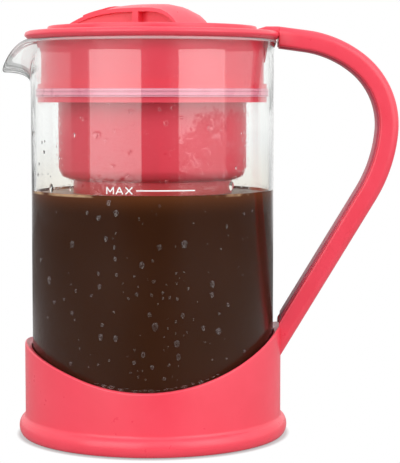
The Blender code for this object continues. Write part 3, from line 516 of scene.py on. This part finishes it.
def dark_coffee(name):
    """Near black in the mass, redder near its top as painted light, and tan where its froth clings
    to the glass.
    """
    material, tree, shader, _ = new_material(name)
    preset(shader, Specular_IOR_Level=0.0)
    parts = place_parts(tree)
    cloud = noise_value(tree, 24.0, 3.0)
    deep = mix_colour(tree, cloud, COFFEE_DEEP, COFFEE_CLOUD)
    # painted light: the coffee turns redder towards its top
    painted_glow = remap(tree, parts["Z"], COFFEE_TOP - PAINTED_GLOW_DEPTH, COFFEE_TOP)
    body = mix_colour(tree, join(tree, "POWER", painted_glow, 2.0), deep, COFFEE_PAINTED_GLOW)
    cling = remap(tree, noise_value(tree, 42.0, 3.0, 0.6), 0.50, 0.58)
    rim = remap(tree, parts["Z"], COFFEE_TOP - 0.0002, COFFEE_TOP + 0.0003)
    share = join(tree, "MULTIPLY", cling, rim)
    drive(
        tree,
        shader,
        Base_Color=mix_colour(tree, share, body, COFFEE_CLINGING),
        Roughness=remap(tree, cloud, 0.3, 0.7, 0.3, 0.5),
    )
    return material


def frothy_surface(name):
    """The coffee's open surface: thin froth, paler towards the spout."""
    material, tree, shader, _ = new_material(name)
    preset(shader, IOR=1.33, Specular_IOR_Level=0.20)
    froth = noise_value(tree, 60.0, 4.0, 0.6)
    towards_spout = remap(tree, place_parts(tree)["X"], -0.04, 0.03, 1.0, 0.0)
    drift = join(tree, "ADD", towards_spout, centred(tree, froth))
    drive(
        tree,
        shader,
        Base_Color=mix_colour(tree, remap(tree, drift, 0.0, 1.0), COFFEE_OPEN, COFFEE_FROTH),
        Roughness=remap(tree, froth, 0.3, 0.7, 0.25, 0.45),
    )
    return material


def printed_white(name):
    material, tree, shader, _ = new_material(name)
    speck = noise_value(tree, 1500.0)
    drive(
        tree,
        shader,
        Base_Color=mix_colour(tree, speck, PRINT_SHADE, PRINT),
        Roughness=remap(tree, speck, 0.3, 0.7, 0.35, 0.5),
    )
    return material


def water(name):
    material, tree, shader, output = new_material(name)
    preset(shader, Base_Color=WHITE, Transmission_Weight=1.0, IOR=1.33)
    preset(shader, Coat_Weight=0.28, Coat_IOR=1.4)
    ripple = noise_value(tree, 600.0, 1.0)
    drive(tree, shader, Roughness=remap(tree, ripple, 0.3, 0.7, 0.0, 0.01))
    see_through(tree, shader, output, WATER_SHADOW)
    return material


# Meshes


def new_piece(name, shape, materials, body, sharp=SHARP_ANGLE):
    """Turn a bmesh into a shown piece that rides on a body."""
    bmesh.ops.recalc_face_normals(shape, faces=shape.faces)
    mesh = bpy.data.meshes.new(name)
    shape.to_mesh(mesh)
    shape.free()
    mesh.shade_smooth()
    mesh.set_sharp_from_angle(angle=sharp)
    for material in materials:
        mesh.materials.append(material)
    piece = bpy.data.objects.new(name, mesh)
    bpy.context.scene.collection.objects.link(piece)
    if body:
        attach(piece, body)
    return piece


def turns(count):
    return [FULL_TURN * column / count for column in range(count)]


def turned(outline, angle):
    return [(r * cos(angle), r * sin(angle), z) for r, z in outline]


def arc(centre, radius, start, end, steps):
    points = []
    for step in range(steps + 1):
        angle = start + (end - start) * step / steps
        points.append((centre[0] + radius * cos(angle), centre[1] + radius * sin(angle)))
    return points


def bezier(start, control, end, share):
    """A point of a curve with one control point, and its unit heading there."""
    before, after = 1 - share, share
    places = list(zip(start, control, end))
    point = tuple(before**2 * a + 2 * before * after * b + after**2 * c for a, b, c in places)
    run, rise = (before * (b - a) + after * (c - b) for a, b, c in places)
    length = hypot(run, rise)
    return point, (run / length, rise / length)


def loop_columns(shape, columns, closed=False):
    """Faces between neighbouring columns of points all the way round the axis.

    Open columns are capped at both ends; closed ones run back to their own first point.
    """
    rows = [[shape.verts.new(point) for point in column] for column in columns]
    strips = []
    for first, second in zip(rows, rows[1:] + rows[:1]):
        strip = []
        for index in range(len(first) if closed else len(first) - 1):
            after = (index + 1) % len(first)
            corners = (first[index], second[index], second[after], first[after])
            strip.append(shape.faces.new(corners))
        strips.append(strip)
    if not closed:
        shape.faces.new([row[0] for row in reversed(rows)])
        shape.faces.new([row[-1] for row in rows])
    return strips


def link_rings(shape, rows):
    """Faces between a row of vertex rings."""
    for first, second in zip(rows, rows[1:]):
        for index in range(len(first)):
            after = (index + 1) % len(first)
            shape.faces.new((first[index], first[after], second[after], second[index]))


def loft_rings(shape, rings):
    """Faces between a row of point rings, closed at both ends."""
    rows = [[shape.verts.new(point) for point in ring] for ring in rings]
    link_rings(shape, rows)
    shape.faces.new(reversed(rows[0]))
    shape.faces.new(rows[-1])


# Glass, coffee and seal


def spout_weight(angle):
    """How much of the spout there is at an angle, from 0 on the round wall to 1 at its tip."""
    away = abs(atan2(sin(angle - pi), cos(angle - pi)))
    if away >= SPOUT_HALF_ANGLE:
        return 0.0
    return ((1 + cos(pi * away / SPOUT_HALF_ANGLE)) / 2) ** SPOUT_SHARPNESS


def lip_curve(weight, steps=12):
    """The outer wall from the upright part to the rim, with its headings."""
    middle = GLASS_FLARE_HEIGHT / 2
    flare = GLASS_RIM_RADIUS - GLASS_RADIUS
    rim_rounding = GLASS_WALL / 2 * (flare + middle) / hypot(flare, middle)
    plain_start = GLASS_TOP - GLASS_FLARE_HEIGHT
    start = (GLASS_RADIUS, plain_start + (GLASS_TOP - SPOUT_DEPTH - plain_start) * weight)
    plain_control = GLASS_TOP - middle
    control = (GLASS_RADIUS, plain_control + (GLASS_TOP - SPOUT_THROAT - plain_control) * weight)
    end = (
        GLASS_RIM_RADIUS + SPOUT_REACH * weight,
        GLASS_TOP - rim_rounding - SPOUT_DROP * weight**SPOUT_DIP_POWER,
    )
    return [bezier(start, control, end, step / steps) for step in range(steps + 1)]


def glass_column(angle):
    """Outer points from the floor to the lip, then inner points back down.

    With them come the numbers of the first point of the rim and the first point after it.
    """
    half = GLASS_WALL / 2
    lip = lip_curve(spout_weight(angle))
    outer_corner = (GLASS_RADIUS - GLASS_CORNER, GLASS_BOTTOM + GLASS_CORNER)
    inner_radius = GLASS_CORNER - GLASS_WALL
    inner_corner = (GLASS_BORE - inner_radius, GLASS_BOTTOM + GLASS_FLOOR + inner_radius)
    outline = arc(outer_corner, GLASS_CORNER, -QUARTER_TURN, 0, 10)
    outline += [point for point, _ in lip]
    (edge_r, edge_z), (run, rise) = lip[-1]
    rim_start = len(outline) - 1
    centre = (edge_r - rise * half, edge_z + run * half)
    out_angle = atan2(-run, rise)
    outline += arc(centre, half, out_angle, out_angle + pi, 8)[1:-1]
    rim_end = len(outline)
    for (r, z), (run, rise) in reversed(lip):
        outline.append((r - rise * GLASS_WALL, z + run * GLASS_WALL))
    outline.append((GLASS_BORE, COFFEE_TOP))
    outline += arc(inner_corner, inner_radius, 0, -QUARTER_TURN, 8)
    return turned(outline, angle), rim_start, rim_end


def build_glass(materials):
    """The carafe's glass, whose four materials come in the order of OUTER_GLASS to RIM_GLASS."""
    angles = turns(ROUND_COLUMNS)
    columns = []
    for angle in angles:
        points, rim_start, rim_end = glass_column(angle)
        columns.append(points)
    shape = bmesh.new()
    for angle, strip in zip(angles, loop_columns(shape, columns)):
        plain = spout_weight(angle) < RIM_CLEAR_FROM
        for index, face in enumerate(strip):
            face.material_index = OUTER_GLASS if index < rim_end else WET_GLASS
            if rim_start <= index < rim_end and plain:
                face.material_index = RIM_GLASS
    for face in shape.faces:
        middle = face.calc_center_median()
        on_bore = hypot(middle.x, middle.y) < GLASS_BORE + GLASS_WALL / 4
        if face.material_index == WET_GLASS and middle.z < COFFEE_TOP and on_bore:
            face.material_index = GLASS_BELOW
    piece = new_piece("glass_body", shape, materials, "carafe", sharp=radians(60))
    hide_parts("glass_carafe")


def build_coffee(body, surface):
    """The coffee up to the fill mark, with a meniscus where it climbs the glass."""
    corner = GLASS_CORNER - GLASS_WALL
    floor = GLASS_BOTTOM + GLASS_FLOOR - COFFEE_SINK
    climb = COFFEE_TOP + MENISCUS_RISE
    curve = (GLASS_BORE - 2 * MENISCUS_CURVE, COFFEE_TOP + MENISCUS_CURVE)
    outline = arc((COFFEE_RADIUS - corner, floor + corner), corner, -QUARTER_TURN, 0, 8)
    outline += [(COFFEE_RADIUS, COFFEE_TOP), (COFFEE_RADIUS, climb)]
    outline.append((GLASS_BORE - MENISCUS_GAP, climb))
    outline += arc(curve, MENISCUS_CURVE, 0, -QUARTER_TURN, 4)
    shape = bmesh.new()
    loop_columns(shape, [turned(outline, angle) for angle in turns(ROUND_COLUMNS)])
    for face in shape.faces:
        middle = face.calc_center_median()
        if middle.z > COFFEE_TOP / 2 and hypot(middle.x, middle.y) < COFFEE_RADIUS / 2:
            face.material_index = 1
    new_piece("coffee", shape, [body, surface], "carafe", sharp=radians(35))


def build_gasket(material):
    """The seal between the lid's flanges, with two fine ribs and a shallow groove between them."""
    low, high = GASKET_BOTTOM, GASKET_TOP
    lip, groove = GASKET_RADIUS, GASKET_RADIUS - GASKET_GROOVE
    quarter = (high - low) / 4
    outline = [(GASKET_BORE, low), (groove, low)]
    outline += arc((lip - GASKET_RIB, low + quarter), GASKET_RIB, -QUARTER_TURN, QUARTER_TURN, 8)
    outline += [(groove, low + 2 * quarter)]
    outline += arc((lip - GASKET_RIB, high - quarter), GASKET_RIB, -QUARTER_TURN, QUARTER_TURN, 8)
    outline += [(groove, high), (GASKET_BORE, high)]
    shape = bmesh.new()
    columns = [turned(outline, angle) for angle in turns(ROUND_COLUMNS)]
    loop_columns(shape, columns, closed=True)
    piece = new_piece("gasket_body", shape, [material], "lid")
    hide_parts("lid_gasket")


# Holder and handle


def sweep_height(x):
    """The holder's swept top edge at a place along X."""
    away = x - SWEEP_OFFSET
    swept = min(SWEEP_LOWEST + SWEEP_RADIUS - sqrt(SWEEP_RADIUS**2 - away**2), HOLDER_HEIGHT)
    return swept - SWEEP_EASE * min(x - SWEEP_EASE_START, 0.0) ** 2


def holder_column(angle):
    """One strip of the holder, from its underside over the bead and the swept edge to its floor."""
    bead_rise = BEAD_HEIGHT / (1 - sin(BEAD_START))
    bead_middle = HOLDER_LIFT + BEAD_HEIGHT - bead_rise
    groove_outer = HOLDER_RADIUS + BEAD_REACH - GROOVE_RIM
    groove_inner = groove_outer - GROOVE_WIDTH
    groove_top = HOLDER_LIFT + GROOVE_DEPTH
    outline = [(PAD_RECESS, PAD_RECESS_TOP), (PAD_RECESS, HOLDER_LIFT), (groove_inner, HOLDER_LIFT)]
    outline += [(groove_inner, groove_top), (groove_outer, groove_top), (groove_outer, HOLDER_LIFT)]
    for out, up in arc((0, 0), 1, BEAD_START, BEAD_END, 14):
        outline.append((HOLDER_RADIUS + BEAD_REACH * out, bead_middle + bead_rise * up))
    bead_end = outline[-1]
    bead_corner = (HOLDER_RADIUS, HOLDER_LIFT + BEAD_HEIGHT)
    wall_start = (HOLDER_RADIUS, HOLDER_LIFT + BEAD_HEIGHT + BEAD_FILLET)
    outline += [bezier(bead_end, bead_corner, wall_start, step / 5)[0] for step in range(1, 6)]
    rounding = HOLDER_ROUNDING
    outer_top = sweep_height(HOLDER_RADIUS * cos(angle))
    inner_top = sweep_height(HOLDER_BORE * cos(angle))
    inner_corner = (HOLDER_BORE - GLASS_CORNER, HOLDER_FLOOR_TOP + GLASS_CORNER)
    outline += arc((HOLDER_RADIUS - rounding, outer_top - rounding), rounding, 0, QUARTER_TURN, 5)
    outline += arc((HOLDER_BORE + rounding, inner_top - rounding), rounding, QUARTER_TURN, pi, 5)
    outline += arc(inner_corner, GLASS_CORNER, 0, -QUARTER_TURN, 6)
    return turned(outline, angle)


def build_holder(material):
    shape = bmesh.new()
    loop_columns(shape, [holder_column(angle) for angle in turns(HOLDER_COLUMNS)])
    piece = new_piece("holder_body", shape, [material], "carafe")
    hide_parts("base_holder")


def handle_path():
    """The handle's centreline in the XZ plane with its headings, down to the last bend."""
    x = HANDLE_START
    z = 0.0
    heading = HANDLE_TILT
    stations = [(x, z, heading)]
    x += HANDLE_TOP_RUN * cos(heading)
    z += HANDLE_TOP_RUN * sin(heading)
    stations.append((x, z, heading))
    for radius, turn in HANDLE_BENDS:
        steps = ceil(turn / HANDLE_STEP)
        for _ in range(steps):
            heading -= turn / steps
            chord = 2 * radius * sin(turn / steps / 2)
            middle = heading + turn / steps / 2
            x += chord * cos(middle)
            z += chord * sin(middle)
            stations.append((x, z, heading))
    foot = sweep_height(HOLDER_RADIUS) - HANDLE_FOOT_BELOW_EDGE
    top = HANDLE_TOP - HANDLE_THICKNESS / 2 * cos(HANDLE_TILT)
    stretch = (foot - top) / (z - (x - HOLDER_RADIUS) * tan(heading))
    path = []
    for x, z, heading in stations:
        path.append((x, top + z * stretch, atan2(sin(heading) * stretch, cos(heading))))
    x, z, _ = path[0]
    path[0] = (x, z, 0.0)
    return path


def sweep_handle(name, section, start_back, end_radius, material):
    """A section along the handle's path, rounded at its start and run on into the holder's wall."""
    path = handle_path()
    x, z, heading = path[0]
    _, _, run_heading = path[1]
    rings = []
    for along, shrink in ((0.0, 1.0), (0.3, 0.3), (1.0, 0.0)):
        reach = along * HANDLE_END_ROUNDING - start_back
        lift = reach * tan(run_heading)
        inset = shrink * HANDLE_END_ROUNDING
        ring = []
        for out, side in section:
            out -= inset * (1 if out > 0 else -1)
            side -= inset * (1 if side > 0 else -1)
            ring.append((x + reach - out * sin(heading), side, z + out * cos(heading) + lift))
        rings.append(ring)
    for x, z, heading in path[1:]:
        lean, level = sin(heading), cos(heading)
        rings.append([(x - out * lean, side, z + out * level) for out, side in section])
    foot = []
    for x, side, z in rings[-1]:
        gone = (sqrt(end_radius**2 - side**2) - x) / cos(heading)
        foot.append((x + gone * cos(heading), side, z + gone * sin(heading)))
    rings.append(foot)
    shape = bmesh.new()
    loft_rings(shape, rings)
    return new_piece(name, shape, [material], "carafe")


def both_sides(right):
    return right + [(out, -side) for out, side in reversed(right)]


def build_handle(shell_material, cover_material):
    """The handle's shell, a channel open on its inner side, and the strip that closes it."""
    half = HANDLE_THICKNESS / 2
    half_width = HANDLE_WIDTH / 2
    outer, inner = HANDLE_OUTER_CORNER, HANDLE_INNER_CORNER
    bed_half = half_width - HANDLE_WALL
    bed = COVER_THICKNESS - COVER_PROUD + CLEARANCE
    right = arc((half - outer, half_width - outer), outer, 0, QUARTER_TURN, 8)
    right += arc((inner - half, half_width - inner), inner, QUARTER_TURN, pi, 5)
    right += [(-half, bed_half + CLEARANCE), (CLEARANCE - half, bed_half), (bed - half, bed_half)]
    section = both_sides(right)
    end_radius = HOLDER_RADIUS - HANDLE_BED
    shell = sweep_handle("handle_body", section, HANDLE_START_BACK, end_radius, shell_material)
    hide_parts("handle_shell")
    low = -half - COVER_PROUD
    high = low + COVER_THICKNESS
    corner = COVER_CORNER
    right = arc((high - CLEARANCE, bed_half - 2 * CLEARANCE), CLEARANCE, 0, QUARTER_TURN, 2)
    right += arc((low + corner, bed_half - CLEARANCE - corner), corner, QUARTER_TURN, pi, 5)
    section = both_sides(right)
    end_radius = HOLDER_RADIUS + CLEARANCE
    cover = sweep_handle("handle_lining", section, 0.0, end_radius, cover_material)
    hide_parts("handle_cover")


# Print and water on the glass


def on_glass(along, height, lift):
    """A place on the front of the glass, from a distance round it and a height."""
    angle = along / GLASS_RADIUS
    radius = GLASS_RADIUS + lift
    return (radius * sin(angle), -radius * cos(angle), height)


def edge_on_glass(along):
    """The height of the holder's edge, at a distance round the front of the glass."""
    return sweep_height(GLASS_RADIUS * sin(along / GLASS_RADIUS))


def add_stroke(shape, start, end, width):
    """A thin printed bar between two places on the glass."""
    run, rise = end[0] - start[0], end[1] - start[1]
    length = hypot(run, rise)
    side = (-rise / length * width / 2, run / length * width / 2)
    steps = max(1, ceil(length / STROKE_STEP))
    under, over = PRINT_THICKNESS / 5, PRINT_THICKNESS
    rings = []
    for step in range(steps + 1):
        x = start[0] + run * step / steps
        z = start[1] + rise * step / steps
        low = (x - side[0], z - side[1])
        high = (x + side[0], z + side[1])
        corners = ((low, under), (high, under), (high, over), (low, over))
        rings.append([on_glass(*place, lift) for place, lift in corners])
    loft_rings(shape, rings)


def build_fill_mark(material):
    """A white line at the filling height, with the generic word MAX in front of it."""
    shape = bmesh.new()
    add_stroke(shape, (MARK_START, MARK_HEIGHT), (MARK_END, MARK_HEIGHT), MARK_THICKNESS)
    base = MARK_HEIGHT - LETTER_HEIGHT / 2
    for letter, points in LETTER_STROKES:
        left = WORD_START + LETTER_PITCH * letter
        places = [(left + x * LETTER_WIDTH, base + z * LETTER_HEIGHT) for x, z in points]
        for start, end in zip(places, places[1:]):
            add_stroke(shape, start, end, STROKE_WIDTH)
    new_piece("fill_mark", shape, [material], "carafe", sharp=radians(30))


def add_drop(shape, along, height, size, tall, flat):
    """A flattened bead of water on the glass, sagging to its lower end."""
    rows = []
    for ring in range(DROP_RINGS):
        tilt = QUARTER_TURN * ring / DROP_RINGS
        lift = size * flat * sin(tilt) - PRINT_THICKNESS / 5
        row = []
        for turn in turns(DROP_SIDES):
            sag = 1 + DROP_SAG * max(0.0, -sin(turn))
            x = along + size * cos(tilt) * cos(turn)
            z = height + size * tall * sag * cos(tilt) * sin(turn)
            row.append(shape.verts.new(on_glass(x, z, lift)))
        rows.append(row)
    top = shape.verts.new(on_glass(along, height - size * tall * DROP_TOP_SINK, size * flat))
    link_rings(shape, rows)
    for index in range(DROP_SIDES):
        shape.faces.new((rows[-1][index], rows[-1][(index + 1) % DROP_SIDES], top))
    shape.faces.new(reversed(rows[0]))


def build_drops(material):
    """Condensation on the front of the glass: scattered beads, then a row on the holder's edge."""
    chance = Random(DROP_SEED)
    shape = bmesh.new()
    placed = []
    while len(placed) < DROP_COUNT:
        kind = chance.random()
        _, (middle, spread), (low, high) = next(zone for zone in DROP_ZONES if kind < zone[0])
        along = chance.gauss(middle, spread)
        height = chance.uniform(low, high)
        size = min(DROP_SMALLEST + chance.expovariate(1 / DROP_USUAL_GROWTH), DROP_LARGEST)
        on_mark = abs(height - MARK_HEIGHT) < MARK_CLEAR_HEIGHT and abs(along) < MARK_CLEAR_ALONG
        crowded = False
        for x, z, other in placed:
            crowded |= hypot(along - x, height - z) < DROP_SPACING * (size + other)
        in_holder = height <= edge_on_glass(along) + 2 * size
        if abs(along) > DROP_FARTHEST or on_mark or crowded or in_holder:
            continue
        placed.append((along, height, size))
        tall, flat = chance.uniform(*DROP_TALL), chance.uniform(*DROP_FLAT)
        add_drop(shape, along, height, size, tall, flat)
    along = EDGE_DROPS_START
    while along < EDGE_DROPS_END:
        size = chance.uniform(*EDGE_DROP_SIZE)
        along += size
        height = edge_on_glass(along) + chance.uniform(*EDGE_DROP_LIFT)
        add_drop(shape, along, height, size, chance.uniform(*EDGE_DROP_TALL), EDGE_DROP_FLAT)
        along += size + chance.uniform(*EDGE_DROP_GAP)
    new_piece("water_drops", shape, [material], "carafe", sharp=radians(75))


# CAD nodes that stay


def add_soft_shading():
    """Modifier nodes that join a loaded node's split corners and smooth all but its edges."""
    tree = bpy.data.node_groups.new("soft_edges", "GeometryNodeTree")
    for direction in ("INPUT", "OUTPUT"):
        tree.interface.new_socket("Geometry", in_out=direction, socket_type="NodeSocketGeometry")
    source = put(tree, "NodeGroupInput")
    target = put(tree, "NodeGroupOutput")
    strip = preset(put(tree, "GeometryNodeRemoveAttribute"), Name="custom_normal")
    merge = preset(put(tree, "GeometryNodeMergeByDistance"), Distance=1e-6)
    smooth = preset(put(tree, "GeometryNodeSetShadeSmooth"), Shade_Smooth=True)
    crease = preset(put(tree, "GeometryNodeSetShadeSmooth", domain="EDGE"), Shade_Smooth=False)
    angle = put(tree, "GeometryNodeInputMeshEdgeAngle")
    steep = put(tree, "FunctionNodeCompare", data_type="FLOAT", operation="GREATER_THAN")
    steep.inputs[1].default_value = SHARP_ANGLE
    tree.links.new(angle.outputs["Unsigned Angle"], steep.inputs[0])
    drive(tree, crease, Selection=steep.outputs[0])
    stages = (source, strip, merge, smooth, crease, target)
    for first, second in zip(stages, stages[1:]):
        tree.links.new(first.outputs[0], second.inputs[0])
    return tree


def dress_nodes(finishes):
    group = add_soft_shading()
    for name, node in nodes.items():
        modifier = node.modifiers.new("soft_edges", "NODES")
        modifier.node_group = group
        node.material_slots[0].material = finishes[name]


# Surroundings


def build_world():
    """White to the camera; to all else a dark room in front and pale sides, back and ceiling."""
    world = bpy.data.worlds.new("studio")
    bpy.context.scene.world = world
    world.use_nodes = True
    tree = world.node_tree
    tree.nodes.clear()
    output = put(tree, "ShaderNodeOutputWorld")
    white = preset(put(tree, "ShaderNodeBackground"), Color=WHITE, Strength=1.0)
    room = preset(put(tree, "ShaderNodeBackground"), Color=WHITE)
    heading = put(tree, "ShaderNodeTexCoord").outputs["Generated"]
    parts = drive(tree, put(tree, "ShaderNodeSeparateXYZ"), Vector=heading).outputs

    def ramp(part, start, end, low=0.0, high=1.0):
        return remap(tree, parts[part], start, end, low, high)

    def times(first, second):
        return join(tree, "MULTIPLY", first, second)

    def greater(first, second):
        return join(tree, "MAXIMUM", first, second)

    sides = ramp("Y", -0.97, -0.80, ROOM_FRONT, ROOM_SIDES)
    leaning = join(tree, "ADD", parts["Y"], times(parts["X"], 0.08))
    beside = remap(tree, leaning, -0.23, -0.20, 0.0, ROOM_BESIDE)
    above_level = ramp("Z", -0.05, -0.01)
    below_level = ramp("Z", -0.062, -0.05)
    handle_side = times(ramp("X", 0.0, 0.1), ramp("Y", 0.3, 0.6, 1.4, 0.0))
    spout_side = times(ramp("X", -0.1, 0.0, 1.0, 0.0), ramp("Y", 0.6, 0.75))
    lowered = times(below_level, greater(spout_side, handle_side))
    raised = times(beside, greater(above_level, lowered))
    behind = times(ramp("Y", 0.88, 0.97, 0.0, ROOM_BEHIND), ramp("Z", -0.09, -0.07, 0.25, 1.0))
    walls = join(tree, "ADD", sides, greater(raised, behind))
    ceiling = ramp("Z", 0.08, 0.45, 0.0, ROOM_CEILING)
    drive(tree, room, Strength=greater(walls, ceiling))
    camera_ray = put(tree, "ShaderNodeLightPath").outputs["Is Camera Ray"]
    mix_shaders(tree, camera_ray, room, white, output)


def add_softbox(name, heading, width, radiance):
    lamp = bpy.data.lights.new(name, "AREA")
    lamp.shape = "RECTANGLE"
    lamp.size = width
    lamp.size_y = SOFTBOX_TALL
    lamp.energy = radiance * pi * width * SOFTBOX_TALL
    item = bpy.data.objects.new(name, lamp)
    bpy.context.scene.collection.objects.link(item)
    x, y = SOFTBOX_DISTANCE * sin(heading), -SOFTBOX_DISTANCE * cos(heading)
    item.location = (x, y, SOFTBOX_HEIGHT)
    item.rotation_euler = Vector((-x, -y, 0)).to_track_quat("-Z", "Y").to_euler()


def build_floor():
    """A pale table that is white to the camera, but for the shadow close to the object."""
    shape = bmesh.new()
    left, right, back = -TABLE_REACH, TABLE_REACH, TABLE_REACH
    corners = ((left, TABLE_FRONT), (right, TABLE_FRONT), (right, back), (left, back))
    shape.faces.new([shape.verts.new((x, y, 0)) for x, y in corners])
    material, tree, shader, output = new_material("studio_floor")
    preset(shader, Roughness=0.9, Specular_IOR_Level=0.0)
    length = put(tree, "ShaderNodeVectorMath", operation="LENGTH")
    tree.links.new(object_place(tree), length.inputs[0])
    away = length.outputs["Value"]
    # far out the table is painted darker: painted shade that fades it into the dim room
    colour = mix_colour(tree, remap(tree, away, *TABLE_PAINTED_SHADE_SPAN), TABLE, TABLE_PAINTED_SHADE_FAR)
    drive(tree, shader, Base_Color=colour)
    glow = preset(put(tree, "ShaderNodeEmission"), Color=WHITE)
    camera_ray = put(tree, "ShaderNodeLightPath").outputs["Is Camera Ray"]
    share = join(tree, "MULTIPLY", camera_ray, remap(tree, away, *SHADOW_EDGE, SHADOW_GLOW, 1.0))
    mix_shaders(tree, share, shader, glow, output)
    new_piece("floor", shape, [material], None)


def build_camera():
    lens = bpy.data.cameras.new("camera")
    lens.sensor_fit = "VERTICAL"
    lens.sensor_height = SENSOR_HEIGHT
    lens.lens = SENSOR_HEIGHT / 2 / tan(HALF_FIELD)
    lens.clip_end = CLIP_END
    item = bpy.data.objects.new("camera", lens)
    bpy.context.scene.collection.objects.link(item)
    item.location = CAMERA_PLACE
    item.rotation_euler = (radians(90 - CAMERA_DIP), 0, 0)
    bpy.context.scene.camera = item


def main():
    bpy.context.scene.view_settings.view_transform = "Standard"
    build_camera()
    build_world()
    build_floor()
    for softbox in SOFTBOXES:
        add_softbox(*softbox)
    pink = moulded_plastic("coral_plastic", CORAL, CORAL_SHADE, CORAL_ROUGHNESS)
    # the handle's inner strip, darker as painted shade
    painted_shade_lining = moulded_plastic("coral_lining_painted_shade", LINING_PAINTED_SHADE, LINING_PAINTED_SHADE_DEEP, LINING_ROUGHNESS)
    seal = silicone("pale_silicone", SEAL, SEAL_SHADE)
    outer = clear_glass("clear_glass", OUTER_WAVES)
    screws = ("handle_screw_front", "handle_screw_back", "hub_washer", "hub_screw")
    finishes = dict.fromkeys(nodes, pink)
    for finish, names in (
        (seal, ("lid_gasket", "cup_seal")),
        (silicone("pad_silicone", PAD, PAD_SHADE), ("glass_cushion", "non_slip_pad")),
        (turned_steel("plain_steel"), screws),
        (woven_screen("woven_screen"), ("filter_mesh", "filter_floor_mesh")),
        (painted_shade_lining, ("handle_cover",)),
        (darker_below_plastic("coral_darker_below"), ("brew_cup",)),
        (outer, ("glass_carafe",)),
    ):
        finishes.update(dict.fromkeys(names, finish))
    dress_nodes(finishes)
    below = clear_glass("glass_below_coffee", WAVES_BELOW)
    build_glass([outer, wet_glass("wet_glass"), below, painted_highlight_rim("glass_rim")])
    build_coffee(dark_coffee("coffee_against_glass"), frothy_surface("coffee_surface"))
    build_gasket(seal)
    build_holder(pink)
    build_handle(pink, painted_shade_lining)
    build_fill_mark(printed_white("white_print"))
    build_drops(water("water"))


main()
